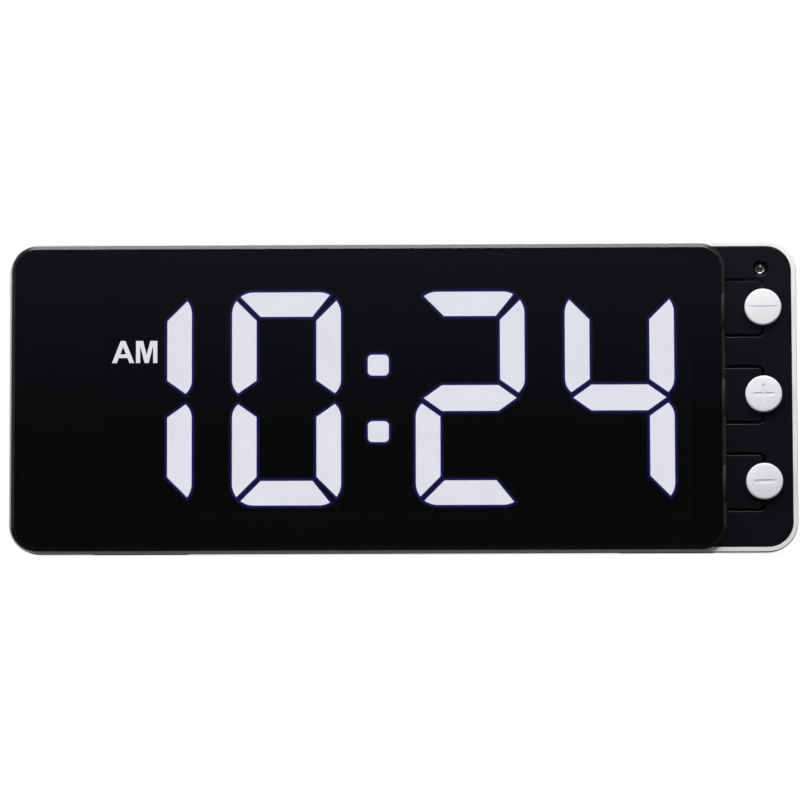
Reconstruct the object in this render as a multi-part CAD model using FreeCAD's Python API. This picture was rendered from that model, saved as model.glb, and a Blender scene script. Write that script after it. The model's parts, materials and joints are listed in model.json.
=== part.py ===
import FreeCAD, Part
import math
import os

V = FreeCAD.Vector

# A wide digital alarm clock that leans back on its foot, in millimetres.
# It is drawn upright: x to the right seen from the front, y from the lens to the rear, z up the face,
# with x = 0 at the middle of the case and z = 0 at its lower edge. At the end it is leaned back.

LEAN_DEG = 8.0              # how far the face leans back when the clock stands
TABLE_GAP = 0.3             # air under the front edge of the case

# Case
CASE_W = 240.0
CASE_H = 95.0
CASE_D = 20.0               # from the lens to the flat back
CASE_R = 9.3                # corner radius, seen from the front
RIM_W = 1.6                 # white edge round the black panel
RIM_EDGE = 0.35             # chamfer of the rim's outer edge
BAND_D = 2.2                # straight band behind the rim, before the back draws in
BACK_INSET = 5.0
BACK_EDGE = 2.4             # depth over which the back's edge rolls over
WALL = 2.0
FIT = 0.1                   # gap between moulded pieces that drop into each other
RUNNING_FIT = 0.08          # radial gap of a pin in its bore

# Lens and its adhesive frame
LENS_T = 2.5
LENS_INSET = 0.9            # white rim that the lens leaves in view
LENS_R = 7.6
LENS_BEVEL = 1.2
TAPE_T = 0.3
TAPE_INSET = 2.0
TAPE_W = 3.0                # adhesive beside the window at the button end

# Black front panel
PANEL_T = 1.6
STRIP_W = 20.3              # panel in view between the lens and the rim
WINDOW_MARGIN = 1.8         # window beyond the segments

# Segment display: three and a half digits
DIGIT_H = 65.3
DIGIT_STROKE = 7.7
DIGIT_MID_STROKE = 8.1
DIGIT_CORNER_R = 6.8
DIGIT_WAIST_R = 5.6         # rounding of the posts beside the middle bar
SEGMENT_GAP = 1.5
WAIST_TIP = 2.0             # tips of the posts and the middle bar, in from the digit's side
BAR_RIGHT_TRIM = 0.8        # top and bottom bars end sooner at the right
DIGIT_GAP = 12.05           # between neighbouring digits
COLON_ROOM = 22.5           # between the two digits beside the colon
DISPLAY_RIGHT = 15.4        # last digit's edge to the lens's edge
DISPLAY_LEFT = 48.2         # case's left edge to the leading digit's posts
DISPLAY_DROP = 0.3          # digits below the middle of the face
COLON_DOT = 6.6
COLON_DOT_R = 1.5
COLON_SPREAD = 20.3         # between the two dots
AM_W = 15.0
AM_H = 7.4
AM_R = 0.8
AM_FROM_POST = 9.9          # middle of the AM field to the leading digit's posts
AM_RISE = 14.4              # above the middle of the digits

# Light box behind the segments
REFLECTOR_D = 6.8
REFLECTOR_STEP = 0.4        # its face below the panel's face
REFLECTOR_FLANGE = 2.0
FLANGE_T = 1.2
SEGMENT_T = 1.0             # diffusing insert at the front of each well
WELL_FLARE = 1.04           # wells widen to the rear
LED_W = 3.5
LED_H = 2.8
LED_T = 1.9

# Buttons on sprung tongues
BUTTON_D = 11.1
BUTTON_T = 1.8
BUTTON_PROUD = 2.7          # button's face in front of the panel
BUTTON_EDGE = 0.4           # soft front edge
BUTTON_FROM_EDGE = 10.4     # centre to the case's right edge
BUTTON_RISE = 0.5           # middle button above the middle of the case
BUTTON_STEM_D = 6.0
BUTTON_TRAVEL = 0.3         # also the stroke of the switch behind
TONGUE_L = 20.6             # bending line to the button's centre
TONGUE_LAND = 10.55         # panel and slots between two tongues
TONGUE_TO_SENSOR = 4.1      # upper tongue's edge to the middle of the light sensor
TONGUE_PAD_D = 9.0
SLOT_W = 1.0
SLOT_R = 2.0
PAD_SLOT_W = 0.6
POST_D = 3.0

# Touch switches
SWITCH_W = 6.2
SWITCH_T = 3.6
PLUNGER_D = 3.4
PLUNGER_PROUD = 0.9
PLUNGER_L = 1.9
PLUNGER_FIT = 0.12          # room round the plunger, which tilts a little with the tongue

# Light sensor
SENSOR_D = 3.0
SENSOR_BORE_D = 4.6
SENSOR_L = 5.3
SENSOR_FLANGE_D = 3.8
SENSOR_FLANGE_T = 1.0
SENSOR_SUNK = 0.3
SENSOR_TOP = 8.35           # centre below the case's upper edge
SENSOR_FROM_EDGE = 10.9
SENSOR_LEAD = 0.5
SENSOR_LEAD_PITCH = 2.54

# Main board
BOARD_T = 1.6
BOARD_EDGE = 4.5            # board's right end to the case's edge
BOARD_LEFT = 19.5           # board's left end to the case's edge
BOARD_H = 66.0
BOARD_TAB_W = 13.5
BOARD_TAB_TOP = 5.3         # tab's upper end to the case's upper edge
BOARD_R = 1.5
BOARD_TAB_R = 6.5           # tab's corners follow the case's rounded corner
BOARD_BOSS_D = 5.0
BOARD_SCREW_D = 2.0
BOARD_SCREW_L = 5.0
BOARD_BOSS_FROM_LEFT = 23.5
BOARD_BOSS_SPREAD = 35.0
BOARD_BOSS_FROM_RIGHT = 26.5
CHIP_W = 10.0
CHIP_T = 1.6
BUZZER_D = 14.0
BUZZER_T = 4.6
BUZZER_FROM_LEFT = 36.0
CRYSTAL_D = 2.0
CRYSTAL_L = 6.0
CAPACITOR_D = 5.0
CAPACITOR_L = 5.4
CAPACITOR_PITCH = 8.0

# Screws that hold the panel to the rear shell
CASE_POST_D = 6.0
CASE_SCREW_D = 2.5
CASE_SCREW_L = 10.0
CASE_SCREW_HEAD_D = 4.6
CASE_SCREW_HEAD_T = 1.8
CASE_SCREW_SINK = 3.0
CASE_POST_FROM_LEFT = 14.0
CASE_POST_SPREAD = 59.0
CASE_POST_FROM_RIGHT = 16.0
SCREW_CLEAR = 0.4           # hole wider than its screw
SCREW_SIDES = 8
POST_SIDES = 12
ROUND_SIDES = 24

# Rear pod, which carries the projector and is the clock's foot
POD_W = 132.0
POD_D = 46.0                # from the lens to the pod's back
POD_TOP = 56.0
POD_LIFT = 1.5              # pod above the table
POD_EDGE_R = 5.0
REST_RIB_W = 12.0
REST_RIB_D = 1.6
SOUND_HOLE_D = 1.8
SOUND_HOLE_PITCH = 3.4

# Feet
FRONT_FOOT_W = 30.0
FRONT_FOOT_D = 4.5
FRONT_FOOT_Y = 6.5
FOOT_CORNER = 1.2
FRONT_FOOT_FROM_EDGE = 40.0
REAR_FOOT_D = 9.0
REAR_FOOT_FROM_SIDE = 14.0
REAR_FOOT_IN = 8.0          # centre in from the pod's back

# Projector: a drum that swivels between two ears
DRUM_R = 11.5
DRUM_W = 34.0
DRUM_WALL = 1.8
DRUM_EDGE = 1.2
DRUM_AIR = 0.5              # drum above its cradle
DRUM_BEHIND = 1.5           # drum behind the case's back
AXLE_D = 7.0
EAR_T = 3.5
EAR_GAP = 0.3
EAR_R = 8.5
CRADLE_T = 2.0
CRADLE_SCREW_D = 2.2
CRADLE_SCREW_L = 9.0
NOZZLE_D = 13.0
NOZZLE_WALL = 1.3
NOZZLE_L = 20.0             # from the drum's axis
COLLAR_D = 16.0
COLLAR_L = 13.5
FOCUS_RING_D = 19.0
FOCUS_LIP_T = 0.8
FOCUS_MOUTH_D = 8.6
FOCUS_FLATS = 24
OBJECTIVE_D = 9.6
OBJECTIVE_T = 2.4
LENS_EDGE_SHARE = 1 / 3     # of a lens's thickness that its straight edge takes
CARRIER_D = 14.0
CARRIER_WALL = 0.9
CARRIER_SHELF = 0.8         # step that the condenser rests on
CARRIER_TOP = 7.6
GRIP_WALL = 1.2             # tube inside the drum that holds the carrier
GRIP_L = 4.0
LAMP_BOARD_T = 1.2
LAMP_BOARD_W = 11.0
LAMP_BOARD_DROP = 5.0       # front of the lamp's board below the axis
LAMP_D = 5.0
LAMP_L = 6.4
CONDENSER_T = 2.6
CONDENSER_LOW = 1.6         # condenser's flat side above the axis
SLIDE_T = 1.1

# Battery door, cell and holder in the pod's back
DOOR_D = 29.6
DOOR_FROM_SIDE = 28.0       # centre to the pod's side
DOOR_Z = 31.0
DOOR_LIP_T = 1.0
DOOR_PLUG_D = 24.8
DOOR_SKIRT_D = 1.1          # plug inside the wall
DOOR_LUG_OUT = 1.3
DOOR_LUG_T = 0.9
DOOR_LUG_DEG = 40.0
DOOR_TURN_DEG = 45.0
DOOR_SLOT_L = 12.0
DOOR_SLOT_W = 1.8
DOOR_SLOT_D = 0.9
CELL_D = 20.0
CELL_T = 3.2
HOLDER_W = 31.0
HOLDER_FLOOR = 1.0
CONTACT_T = 0.2
CONTACT_W = 5.0
CONTACT_L = 18.0

# Power socket and projector switch on the rear board
IO_FROM_SIDE = 28.0
SOCKET_Z = 20.0
SOCKET_W = 8.9
SOCKET_H = 3.2
SOCKET_D = 6.4
SOCKET_WALL = 0.3
SOCKET_TONGUE_T = 0.7
REAR_BOARD_T = 1.2
REAR_BOARD_W = 26.0
REAR_BOARD_LOW = 7.0        # board beyond the socket
REAR_BOARD_HIGH = 7.0       # board beyond the switch
SWITCH_Z = 40.0
SLIDER_BODY_W = 9.4
SLIDER_BODY_H = 3.8
SLIDER_BODY_D = 4.2
KNOB_W = 3.0
KNOB_H = 2.2
KNOB_PROUD = 1.2
KNOB_TRAVEL = 3.0
KNOB_ROOT = 1.2             # knob inside its switch

# Places that follow from the sizes
HALF_W = CASE_W / 2
PANEL_Y = LENS_T + TAPE_T
PANEL_BACK = PANEL_Y + PANEL_T
BAND_END = PANEL_Y + BAND_D
LENS_RIGHT = HALF_W - RIM_W - STRIP_W
DISPLAY_Z = CASE_H / 2 - DISPLAY_DROP
DIGIT_W = (LENS_RIGHT - DISPLAY_RIGHT - COLON_ROOM - 2 * DIGIT_GAP - DIGIT_STROKE - DISPLAY_LEFT + HALF_W) / 3
MINUTE_UNITS_X = LENS_RIGHT - DISPLAY_RIGHT - DIGIT_W
MINUTE_TENS_X = MINUTE_UNITS_X - DIGIT_GAP - DIGIT_W
HOUR_UNITS_X = MINUTE_TENS_X - COLON_ROOM - DIGIT_W
HOUR_TENS_X = HOUR_UNITS_X - DIGIT_GAP - DIGIT_W
COLON_X = (HOUR_UNITS_X + DIGIT_W + MINUTE_TENS_X) / 2
POST_X = HOUR_TENS_X + DIGIT_W - DIGIT_STROKE
AM_X = POST_X - AM_FROM_POST
WINDOW_X0 = AM_X - AM_W / 2 - WINDOW_MARGIN
WINDOW_X1 = MINUTE_UNITS_X + DIGIT_W + WINDOW_MARGIN
WINDOW_Z0 = DISPLAY_Z - DIGIT_H / 2 - WINDOW_MARGIN
WINDOW_Z1 = DISPLAY_Z + DIGIT_H / 2 + WINDOW_MARGIN
REFLECTOR_Y = PANEL_Y + REFLECTOR_STEP
BOARD_Y = REFLECTOR_Y + REFLECTOR_D
BOARD_BACK = BOARD_Y + BOARD_T
BUTTON_X = HALF_W - BUTTON_FROM_EDGE
BUTTON_MID_Z = CASE_H / 2 + BUTTON_RISE
TONGUE_W = (CASE_H - SENSOR_TOP - TONGUE_TO_SENSOR - TONGUE_LAND - BUTTON_MID_Z) / 1.5
BUTTON_PITCH = TONGUE_W + TONGUE_LAND
BUTTON_Y = PANEL_Y - BUTTON_PROUD
TONGUE_ROOT_X = BUTTON_X - TONGUE_L
SENSOR_X = HALF_W - SENSOR_FROM_EDGE
SENSOR_Z = CASE_H - SENSOR_TOP
POST_TIP_Y = BOARD_Y - SWITCH_T - PLUNGER_PROUD
BOARD_X0 = -HALF_W + BOARD_LEFT
BOARD_X1 = HALF_W - BOARD_EDGE
LAND_RISE = BUTTON_PITCH / 2
CASE_INNER_BACK = CASE_D - WALL
POD_INNER_BACK = POD_D - WALL
LEAN = math.radians(LEAN_DEG)
BUZZER_X = -HALF_W + BUZZER_FROM_LEFT
FRONT_FOOT_X = HALF_W - FRONT_FOOT_FROM_EDGE
REAR_FOOT_X = POD_W / 2 - REAR_FOOT_FROM_SIDE
DOOR_X = -POD_W / 2 + DOOR_FROM_SIDE
IO_X = POD_W / 2 - IO_FROM_SIDE
AXLE_Y = CASE_D + DRUM_BEHIND + DRUM_R
AXLE_Z = POD_TOP + CRADLE_T + DRUM_AIR + DRUM_R
BORE_R = NOZZLE_D / 2 - NOZZLE_WALL
CARRIER_R = CARRIER_D / 2 - CARRIER_WALL
EAR_X0 = DRUM_W / 2 + EAR_GAP
EAR_X1 = EAR_X0 + EAR_T
REAR_BOARD_BACK = POD_D - SOCKET_D
KNOB_Y = POD_D + KNOB_PROUD

BUTTONS = [
    ("mode", BUTTON_MID_Z + BUTTON_PITCH),
    ("plus", BUTTON_MID_Z),
    ("minus", BUTTON_MID_Z - BUTTON_PITCH),
]
BOARD_BOSSES = [
    (-HALF_W + BOARD_BOSS_FROM_LEFT, CASE_H / 2 - BOARD_BOSS_SPREAD / 2),
    (-HALF_W + BOARD_BOSS_FROM_LEFT, CASE_H / 2 + BOARD_BOSS_SPREAD / 2),
    (HALF_W - BOARD_BOSS_FROM_RIGHT, BUTTON_MID_Z - LAND_RISE),
    (HALF_W - BOARD_BOSS_FROM_RIGHT, BUTTON_MID_Z + LAND_RISE),
]
CASE_POSTS = [
    (-HALF_W + CASE_POST_FROM_LEFT, CASE_H / 2 - CASE_POST_SPREAD / 2),
    (-HALF_W + CASE_POST_FROM_LEFT, CASE_H / 2 + CASE_POST_SPREAD / 2),
    (HALF_W - CASE_POST_FROM_RIGHT, BUTTON_MID_Z - LAND_RISE),
    (HALF_W - CASE_POST_FROM_RIGHT, BUTTON_MID_Z + LAND_RISE),
]
REAR_BOARD_Z0 = SOCKET_Z - REAR_BOARD_LOW
REAR_BOARD_Z1 = SWITCH_Z + REAR_BOARD_HIGH
REAR_BOARD_POSTS = [
    (IO_X - REAR_BOARD_W / 2 + BOARD_BOSS_D / 2, (SOCKET_Z + SWITCH_Z) / 2),
    (IO_X + REAR_BOARD_W / 2 - BOARD_BOSS_D / 2, (SOCKET_Z + SWITCH_Z) / 2),
]


def table_z(y):
    """Height of the table under the upright clock, which slopes because the clock leans."""
    return (y - BAND_END) * math.tan(LEAN) - TABLE_GAP


def block(x0, x1, y0, y1, z0, z1):
    return Part.makeBox(x1 - x0, y1 - y0, z1 - z0, V(x0, y0, z0))


def rod(x, z, diameter, y0, y1):
    """Cylinder along y."""
    return Part.makeCylinder(diameter / 2, y1 - y0, V(x, y0, z), V(0, 1, 0))


def prism(x, z, diameter, sides, y0, y1):
    """Many-sided rod along y, for posts, screws and their holes."""
    points = []
    for i in range(sides):
        angle = 2 * math.pi * (i + 0.5) / sides
        points.append(V(x + diameter / 2 * math.cos(angle), y0, z + diameter / 2 * math.sin(angle)))
    return Part.Face(Part.makePolygon(points + points[:1])).extrude(V(0, y1 - y0, 0))


def upright_prism(x, diameter, sides, z0, z1):
    """Many-sided rod along z, level with the drum's axle."""
    bar = prism(x, 0, diameter, sides, z0, z1)
    bar.rotate(V(0, 0, 0), V(1, 0, 0), 90)
    bar.translate(V(0, AXLE_Y, 0))
    return bar


def fuse(first, *others):
    return first.fuse(list(others)).removeSplitter()


def cut(body, *tools):
    return body.cut(list(tools))


def rounded_outline(x0, x1, z0, z1, radius, y):
    """Rounded rectangle facing y, drawn from its lower left straight."""
    r = min(radius, 0.49 * (x1 - x0), 0.49 * (z1 - z0))
    k = r * (1 - math.sqrt(0.5))
    edges = [
        Part.LineSegment(V(x0 + r, y, z0), V(x1 - r, y, z0)),
        Part.Arc(V(x1 - r, y, z0), V(x1 - k, y, z0 + k), V(x1, y, z0 + r)),
        Part.LineSegment(V(x1, y, z0 + r), V(x1, y, z1 - r)),
        Part.Arc(V(x1, y, z1 - r), V(x1 - k, y, z1 - k), V(x1 - r, y, z1)),
        Part.LineSegment(V(x1 - r, y, z1), V(x0 + r, y, z1)),
        Part.Arc(V(x0 + r, y, z1), V(x0 + k, y, z1 - k), V(x0, y, z1 - r)),
        Part.LineSegment(V(x0, y, z1 - r), V(x0, y, z0 + r)),
        Part.Arc(V(x0, y, z0 + r), V(x0 + k, y, z0 + k), V(x0 + r, y, z0)),
    ]
    return Part.Wire([edge.toShape() for edge in edges])


def plate(x0, x1, z0, z1, radius, y0, y1):
    """Rounded rectangle with thickness, facing y."""
    face = Part.Face(rounded_outline(x0, x1, z0, z1, radius, y0))
    return face.extrude(V(0, y1 - y0, 0))


def cut_corner_outline(x0, x1, z0, z1, radius, y):
    """Rectangle facing y whose corners are cut by flats that touch a rounding of this radius."""
    c = radius * (2 - math.sqrt(2))
    points = [V(x0 + c, y, z0), V(x1 - c, y, z0), V(x1, y, z0 + c), V(x1, y, z1 - c),
              V(x1 - c, y, z1), V(x0 + c, y, z1), V(x0, y, z1 - c), V(x0, y, z0 + c)]
    return Part.makePolygon(points + points[:1])


def case_outline(inset, y, radius=CASE_R):
    return rounded_outline(-HALF_W + inset, HALF_W - inset, inset, CASE_H - inset, radius, y)


def inner_outline(inset, y):
    radius = CASE_R - WALL
    return cut_corner_outline(-HALF_W + inset, HALF_W - inset, inset, CASE_H - inset, radius, y)


def edges_at(shape, test):
    """Edges whose middle passes the test."""
    return [edge for edge in shape.Edges if test(edge.CenterOfMass)]


def near(a, b):
    return abs(a - b) < 1e-4


# Segment outlines, in the digit's own frame: u to the right from its left edge, v down from its top

def arc_middle(start, end, centre):
    """Middle point of the arc from start to end round a centre."""
    radius = (math.dist(start, centre) + math.dist(end, centre)) / 2
    middle = ((start[0] + end[0]) / 2 - centre[0], (start[1] + end[1]) / 2 - centre[1])
    scale = radius / math.hypot(*middle)
    return (centre[0] + middle[0] * scale, centre[1] + middle[1] * scale)


def corner_tips():
    """Where the mitre gap at a digit's outer corner cuts the rounding: bar tip, then post tip mirrored."""
    r = DIGIT_CORNER_R
    half_gap = SEGMENT_GAP / math.sqrt(2) / 2
    across = math.sqrt(r * r / 2 - (half_gap / 2) ** 2)
    near_corner = r - across
    return near_corner + half_gap, near_corner - half_gap


def bar_points():
    """Top bar: left tip, top edge, right tip, inner edge; None marks the arc at a rounded corner."""
    along, down = corner_tips()
    inner = DIGIT_STROKE + (along - down)
    r = DIGIT_CORNER_R
    along_right = along + BAR_RIGHT_TRIM
    down_right = r - math.sqrt(r * r - (r - along_right) ** 2)
    return [
        (along, down), "corner", (r, 0), (DIGIT_W - r, 0), "corner", (DIGIT_W - along_right, down_right),
        (DIGIT_W - inner, DIGIT_STROKE), (inner, DIGIT_STROKE),
    ]


def post_points():
    """Upper left post: top tip, inner edge, waist tip, outer edge."""
    along, down = corner_tips()
    top_inner = DIGIT_STROKE + (along - down)
    middle = DIGIT_H / 2
    waist_tip = (WAIST_TIP, middle - SEGMENT_GAP)
    waist_inner = (DIGIT_STROKE, middle - DIGIT_MID_STROKE / 2 - SEGMENT_GAP)
    return [
        (down, along), (DIGIT_STROKE, top_inner), waist_inner, waist_tip, "waist",
        (0, waist_tip[1] - 0.75 * DIGIT_WAIST_R), (0, DIGIT_CORNER_R), "corner",
    ]


def middle_points():
    """Middle bar, pointed at both ends."""
    middle = DIGIT_H / 2
    half = DIGIT_MID_STROKE / 2
    tip = WAIST_TIP + SEGMENT_GAP / 4
    shoulder = DIGIT_STROKE + SEGMENT_GAP / 4
    return [
        (tip, middle), (shoulder, middle - half), (DIGIT_W - shoulder, middle - half),
        (DIGIT_W - tip, middle), (DIGIT_W - shoulder, middle + half), (shoulder, middle + half),
    ]


def segment_wire(points, x, y, faceted, across=False, down=False):
    """Outline of a segment at a digit whose left edge is x; faceted draws each arc as two flats."""
    def place(point):
        u = DIGIT_W - point[0] if across else point[0]
        v = DIGIT_H - point[1] if down else point[1]
        return V(x + u, y, DISPLAY_Z + DIGIT_H / 2 - v)

    edges = []
    count = len(points)
    for i, point in enumerate(points):
        after = points[(i + 1) % count]
        if isinstance(point, str):
            start, end = points[i - 1], after
            if point == "corner":
                side = start[0] if start[0] > DIGIT_W / 2 or end[0] > DIGIT_W / 2 else 0
                centre_u = DIGIT_W - DIGIT_CORNER_R if side else DIGIT_CORNER_R
                centre = (centre_u, DIGIT_CORNER_R)
            else:
                centre = (DIGIT_WAIST_R, end[1])
            bulge = arc_middle(start, end, centre)
            if faceted:
                edges.append(Part.LineSegment(place(start), place(bulge)).toShape())
                edges.append(Part.LineSegment(place(bulge), place(end)).toShape())
            else:
                edges.append(Part.Arc(place(start), place(bulge), place(end)).toShape())
        elif not isinstance(after, str):
            edges.append(Part.LineSegment(place(point), place(after)).toShape())
    return Part.Wire(edges)


def segment_outline(name, x, y, faceted):
    """Outline of one lettered segment of the digit at x: a top, clockwise to f, g in the middle."""
    if name in "ad":
        return segment_wire(bar_points(), x, y, faceted, down=name == "d")
    if name == "g":
        return segment_wire(middle_points(), x, y, faceted)
    return segment_wire(post_points(), x, y, faceted, across=name in "bc", down=name in "ce")


DIGITS = [
    ("hour_tens", HOUR_TENS_X, "bc", "bc"),
    ("hour_units", HOUR_UNITS_X, "abcdefg", "abcdef"),
    ("minute_tens", MINUTE_TENS_X, "abcdefg", "abdeg"),
    ("minute_units", MINUTE_UNITS_X, "abcdefg", "bcfg"),
]


def display_outlines(y, faceted=False):
    """Every field of the display at depth y: kind, digit name and outline."""
    fields = []
    outline = cut_corner_outline if faceted else rounded_outline
    for digit, x, letters, lit in DIGITS:
        for letter in letters:
            kind = "lit" if letter in lit else "unlit"
            fields.append((kind, digit, segment_outline(letter, x, y, faceted)))
    for side in (-1, 1):
        z = DISPLAY_Z + side * COLON_SPREAD / 2
        half = COLON_DOT / 2
        dot = outline(COLON_X - half, COLON_X + half, z - half, z + half, COLON_DOT_R, y)
        fields.append(("colon", None, dot))
    z = DISPLAY_Z + AM_RISE
    field = outline(AM_X - AM_W / 2, AM_X + AM_W / 2, z - AM_H / 2, z + AM_H / 2, AM_R, y)
    fields.append(("am", None, field))
    return fields


def display_inserts(kind, digit=None):
    """Diffusing inserts of one kind, one solid for each segment."""
    return Part.makeCompound([
        Part.Face(wire).extrude(V(0, SEGMENT_T, 0))
        for field_kind, field_digit, wire in display_outlines(REFLECTOR_Y)
        if field_kind == kind and digit in (None, field_digit)
    ])


def widened(wire, factor, dy):
    """The outline grown about its own middle and moved back by dy."""
    middle = wire.BoundBox.Center
    grown = wire.copy()
    grown.translate(-middle)
    grown.scale(factor)
    grown.translate(middle + V(0, dy, 0))
    return grown


def segment_reflector():
    """Light box: one well for each segment, straight round the insert and flared behind it."""
    y0, y1 = REFLECTOR_Y, BOARD_Y
    body = block(WINDOW_X0 + FIT, WINDOW_X1 - FIT, y0, y1, WINDOW_Z0 + FIT, WINDOW_Z1 - FIT)
    flange_y = PANEL_BACK + FIT
    out = REFLECTOR_FLANGE
    flange = block(WINDOW_X0 - out, WINDOW_X1 + out, flange_y, flange_y + FLANGE_T,
                   WINDOW_Z0 - out, WINDOW_Z1 + out)
    body = fuse(body, flange)
    seat_y = y0 + SEGMENT_T
    wells = [Part.Face(wire).extrude(V(0, SEGMENT_T, 0)) for kind, digit, wire in display_outlines(y0)]
    for kind, digit, wire in display_outlines(seat_y, True):
        wells.append(Part.makeLoft([wire, widened(wire, WELL_FLARE, y1 - seat_y)], True, True))
    return cut(body, *wells)


def segment_leds():
    """One lamp at each short field, two along each bar and post."""
    lamps = []
    for kind, digit, wire in display_outlines(BOARD_Y):
        box = wire.BoundBox
        centre = box.Center
        long_x = box.XLength > box.ZLength
        length = max(box.XLength, box.ZLength)
        offsets = (0,) if kind in ("colon", "am") else (-length / 4, length / 4)
        for offset in offsets:
            x = centre.x + (offset if long_x else 0)
            z = centre.z + (0 if long_x else offset)
            lamps.append(block(x - LED_W / 2, x + LED_W / 2, BOARD_Y - LED_T, BOARD_Y,
                               z - LED_H / 2, z + LED_H / 2))
    return Part.makeCompound(lamps)


# Front pieces

def domed_rod(radius, length, base, along):
    """Round rod from base with a domed end, drawn as half of its outline and turned about its axis."""
    side = V(1, 0, 0)
    turn = radius * math.sqrt(0.5)
    profile = [(0, 0), (radius, 0), (radius, length - radius), (turn, length - radius + turn), (0, length)]
    points = [base + side * r + along * h for r, h in profile]
    return Part.Face(Part.makePolygon(points + points[:1])).revolve(base, along, 360)


def front_lens():
    """Smoked lens, chamfered all round its face."""
    lens = plate(-HALF_W + LENS_INSET, LENS_RIGHT, LENS_INSET, CASE_H - LENS_INSET, LENS_R, 0, LENS_T)
    return lens.makeChamfer(LENS_BEVEL, edges_at(lens, lambda c: near(c.y, 0)))


def lens_tape():
    """Thin adhesive frame between the lens and the panel, clear of the window and the tongues."""
    inset = LENS_INSET + TAPE_INSET
    left = -HALF_W + inset
    right = WINDOW_X1 + TAPE_W
    frame = plate(left, right, inset, CASE_H - inset, LENS_R - TAPE_INSET, LENS_T, PANEL_Y)
    hole = block(WINDOW_X0, WINDOW_X1, LENS_T - 1, PANEL_Y + 1, WINDOW_Z0, WINDOW_Z1)
    return cut(frame, hole)


def tongue_shape(z, grow, root_x, y0, y1):
    """Tongue round the button at height z, or its slot when grown, from its bending line."""
    end = BUTTON_X - SLOT_W / 2 + grow
    half = TONGUE_W / 2 + grow
    corner = SLOT_R - SLOT_W + grow
    tongue = plate(root_x - 3 * SLOT_R, end, z - half, z + half, corner, y0, y1)
    tongue = cut(tongue, block(root_x - 6 * SLOT_R, root_x, y0 - 1, y1 + 1, z - 2 * half, z + 2 * half))
    pad_d = TONGUE_PAD_D + (2 * PAD_SLOT_W if grow else 0)
    return fuse(tongue, rod(BUTTON_X, z, pad_d, y0, y1))


def front_panel():
    """Black panel with the display window, the slots that free the tongues, and its screw posts."""
    inset = RIM_W + FIT
    panel = plate(-HALF_W + inset, HALF_W - inset, inset, CASE_H - inset, CASE_R - RIM_W,
                  PANEL_Y, PANEL_BACK)
    root = PANEL_Y + PANEL_T / 2
    posts = [prism(x, z, BOARD_BOSS_D, POST_SIDES, root, BOARD_Y) for x, z in BOARD_BOSSES]
    posts += [prism(x, z, CASE_POST_D, POST_SIDES, root, case_post_end()) for x, z in CASE_POSTS]
    panel = fuse(panel, *posts)
    holes = [block(WINDOW_X0, WINDOW_X1, 0, BOARD_Y, WINDOW_Z0, WINDOW_Z1)]
    holes += [tongue_shape(z, SLOT_W, TONGUE_ROOT_X, 0, PANEL_BACK + 1) for name, z in BUTTONS]
    holes.append(rod(SENSOR_X, SENSOR_Z, SENSOR_BORE_D, 0, PANEL_BACK + 1))
    holes += [prism(x, z, BOARD_SCREW_D, SCREW_SIDES, BOARD_BACK - BOARD_SCREW_L - FIT, BOARD_BACK)
              for x, z in BOARD_BOSSES]
    holes += [prism(x, z, CASE_SCREW_D, SCREW_SIDES, case_post_end() - CASE_SCREW_L, case_post_end() + 1)
              for x, z in CASE_POSTS]
    return cut(panel, *holes)


def button_tongue(z):
    """Tongue that carries a button, with the post that presses the switch."""
    tongue = tongue_shape(z, 0, TONGUE_ROOT_X + FIT, PANEL_Y, PANEL_BACK)
    return fuse(tongue, prism(BUTTON_X, z, POST_D, POST_SIDES, PANEL_BACK - PANEL_T / 2, POST_TIP_Y))


def button_cap(z):
    """Round button on its stem, with a soft front edge."""
    cap = rod(BUTTON_X, z, BUTTON_D, BUTTON_Y, BUTTON_Y + BUTTON_T)
    cap = cap.makeChamfer(BUTTON_EDGE, edges_at(cap, lambda c: near(c.y, BUTTON_Y)))
    return fuse(cap, prism(BUTTON_X, z, BUTTON_STEM_D, POST_SIDES, BUTTON_Y + BUTTON_T / 2, PANEL_Y))


def light_sensor():
    """Clear domed sensor, its flange and its two leads."""
    x, z = SENSOR_X, SENSOR_Z
    front = PANEL_Y + SENSOR_SUNK
    body = domed_rod(SENSOR_D / 2, SENSOR_L, V(x, front + SENSOR_L, z), V(0, -1, 0))
    flange = prism(x, z, SENSOR_FLANGE_D, POST_SIDES, front + SENSOR_L - SENSOR_FLANGE_T, front + SENSOR_L)
    half = SENSOR_LEAD / 2
    leads = [
        block(x + side - half, x + side + half, front + SENSOR_L - half, BOARD_BACK + 1, z - half, z + half)
        for side in (-SENSOR_LEAD_PITCH / 2, SENSOR_LEAD_PITCH / 2)
    ]
    return fuse(body, flange, *leads)


# Main board and what it carries

def main_board():
    """Board behind the light box, with a tab up to the sensor and holes for posts and screws."""
    z0, z1 = (CASE_H - BOARD_H) / 2, (CASE_H + BOARD_H) / 2
    board = plate(BOARD_X0, BOARD_X1, z0, z1, BOARD_R, BOARD_Y, BOARD_BACK)
    tab = plate(BOARD_X1 - BOARD_TAB_W, BOARD_X1, z1 - 3 * BOARD_TAB_R, CASE_H - BOARD_TAB_TOP,
                BOARD_TAB_R, BOARD_Y, BOARD_BACK)
    holes = [prism(x, z, BOARD_SCREW_D + SCREW_CLEAR, SCREW_SIDES, 0, CASE_D) for x, z in BOARD_BOSSES]
    holes += [prism(x, z, CASE_POST_D + 2 * SCREW_CLEAR, POST_SIDES, 0, CASE_D) for x, z in CASE_POSTS]
    for side in (-1, 1):
        x = SENSOR_X + side * SENSOR_LEAD_PITCH / 2
        holes.append(prism(x, SENSOR_Z, 2 * SENSOR_LEAD, SCREW_SIDES, 0, CASE_D))
    return cut(fuse(board, tab), *holes)


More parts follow.
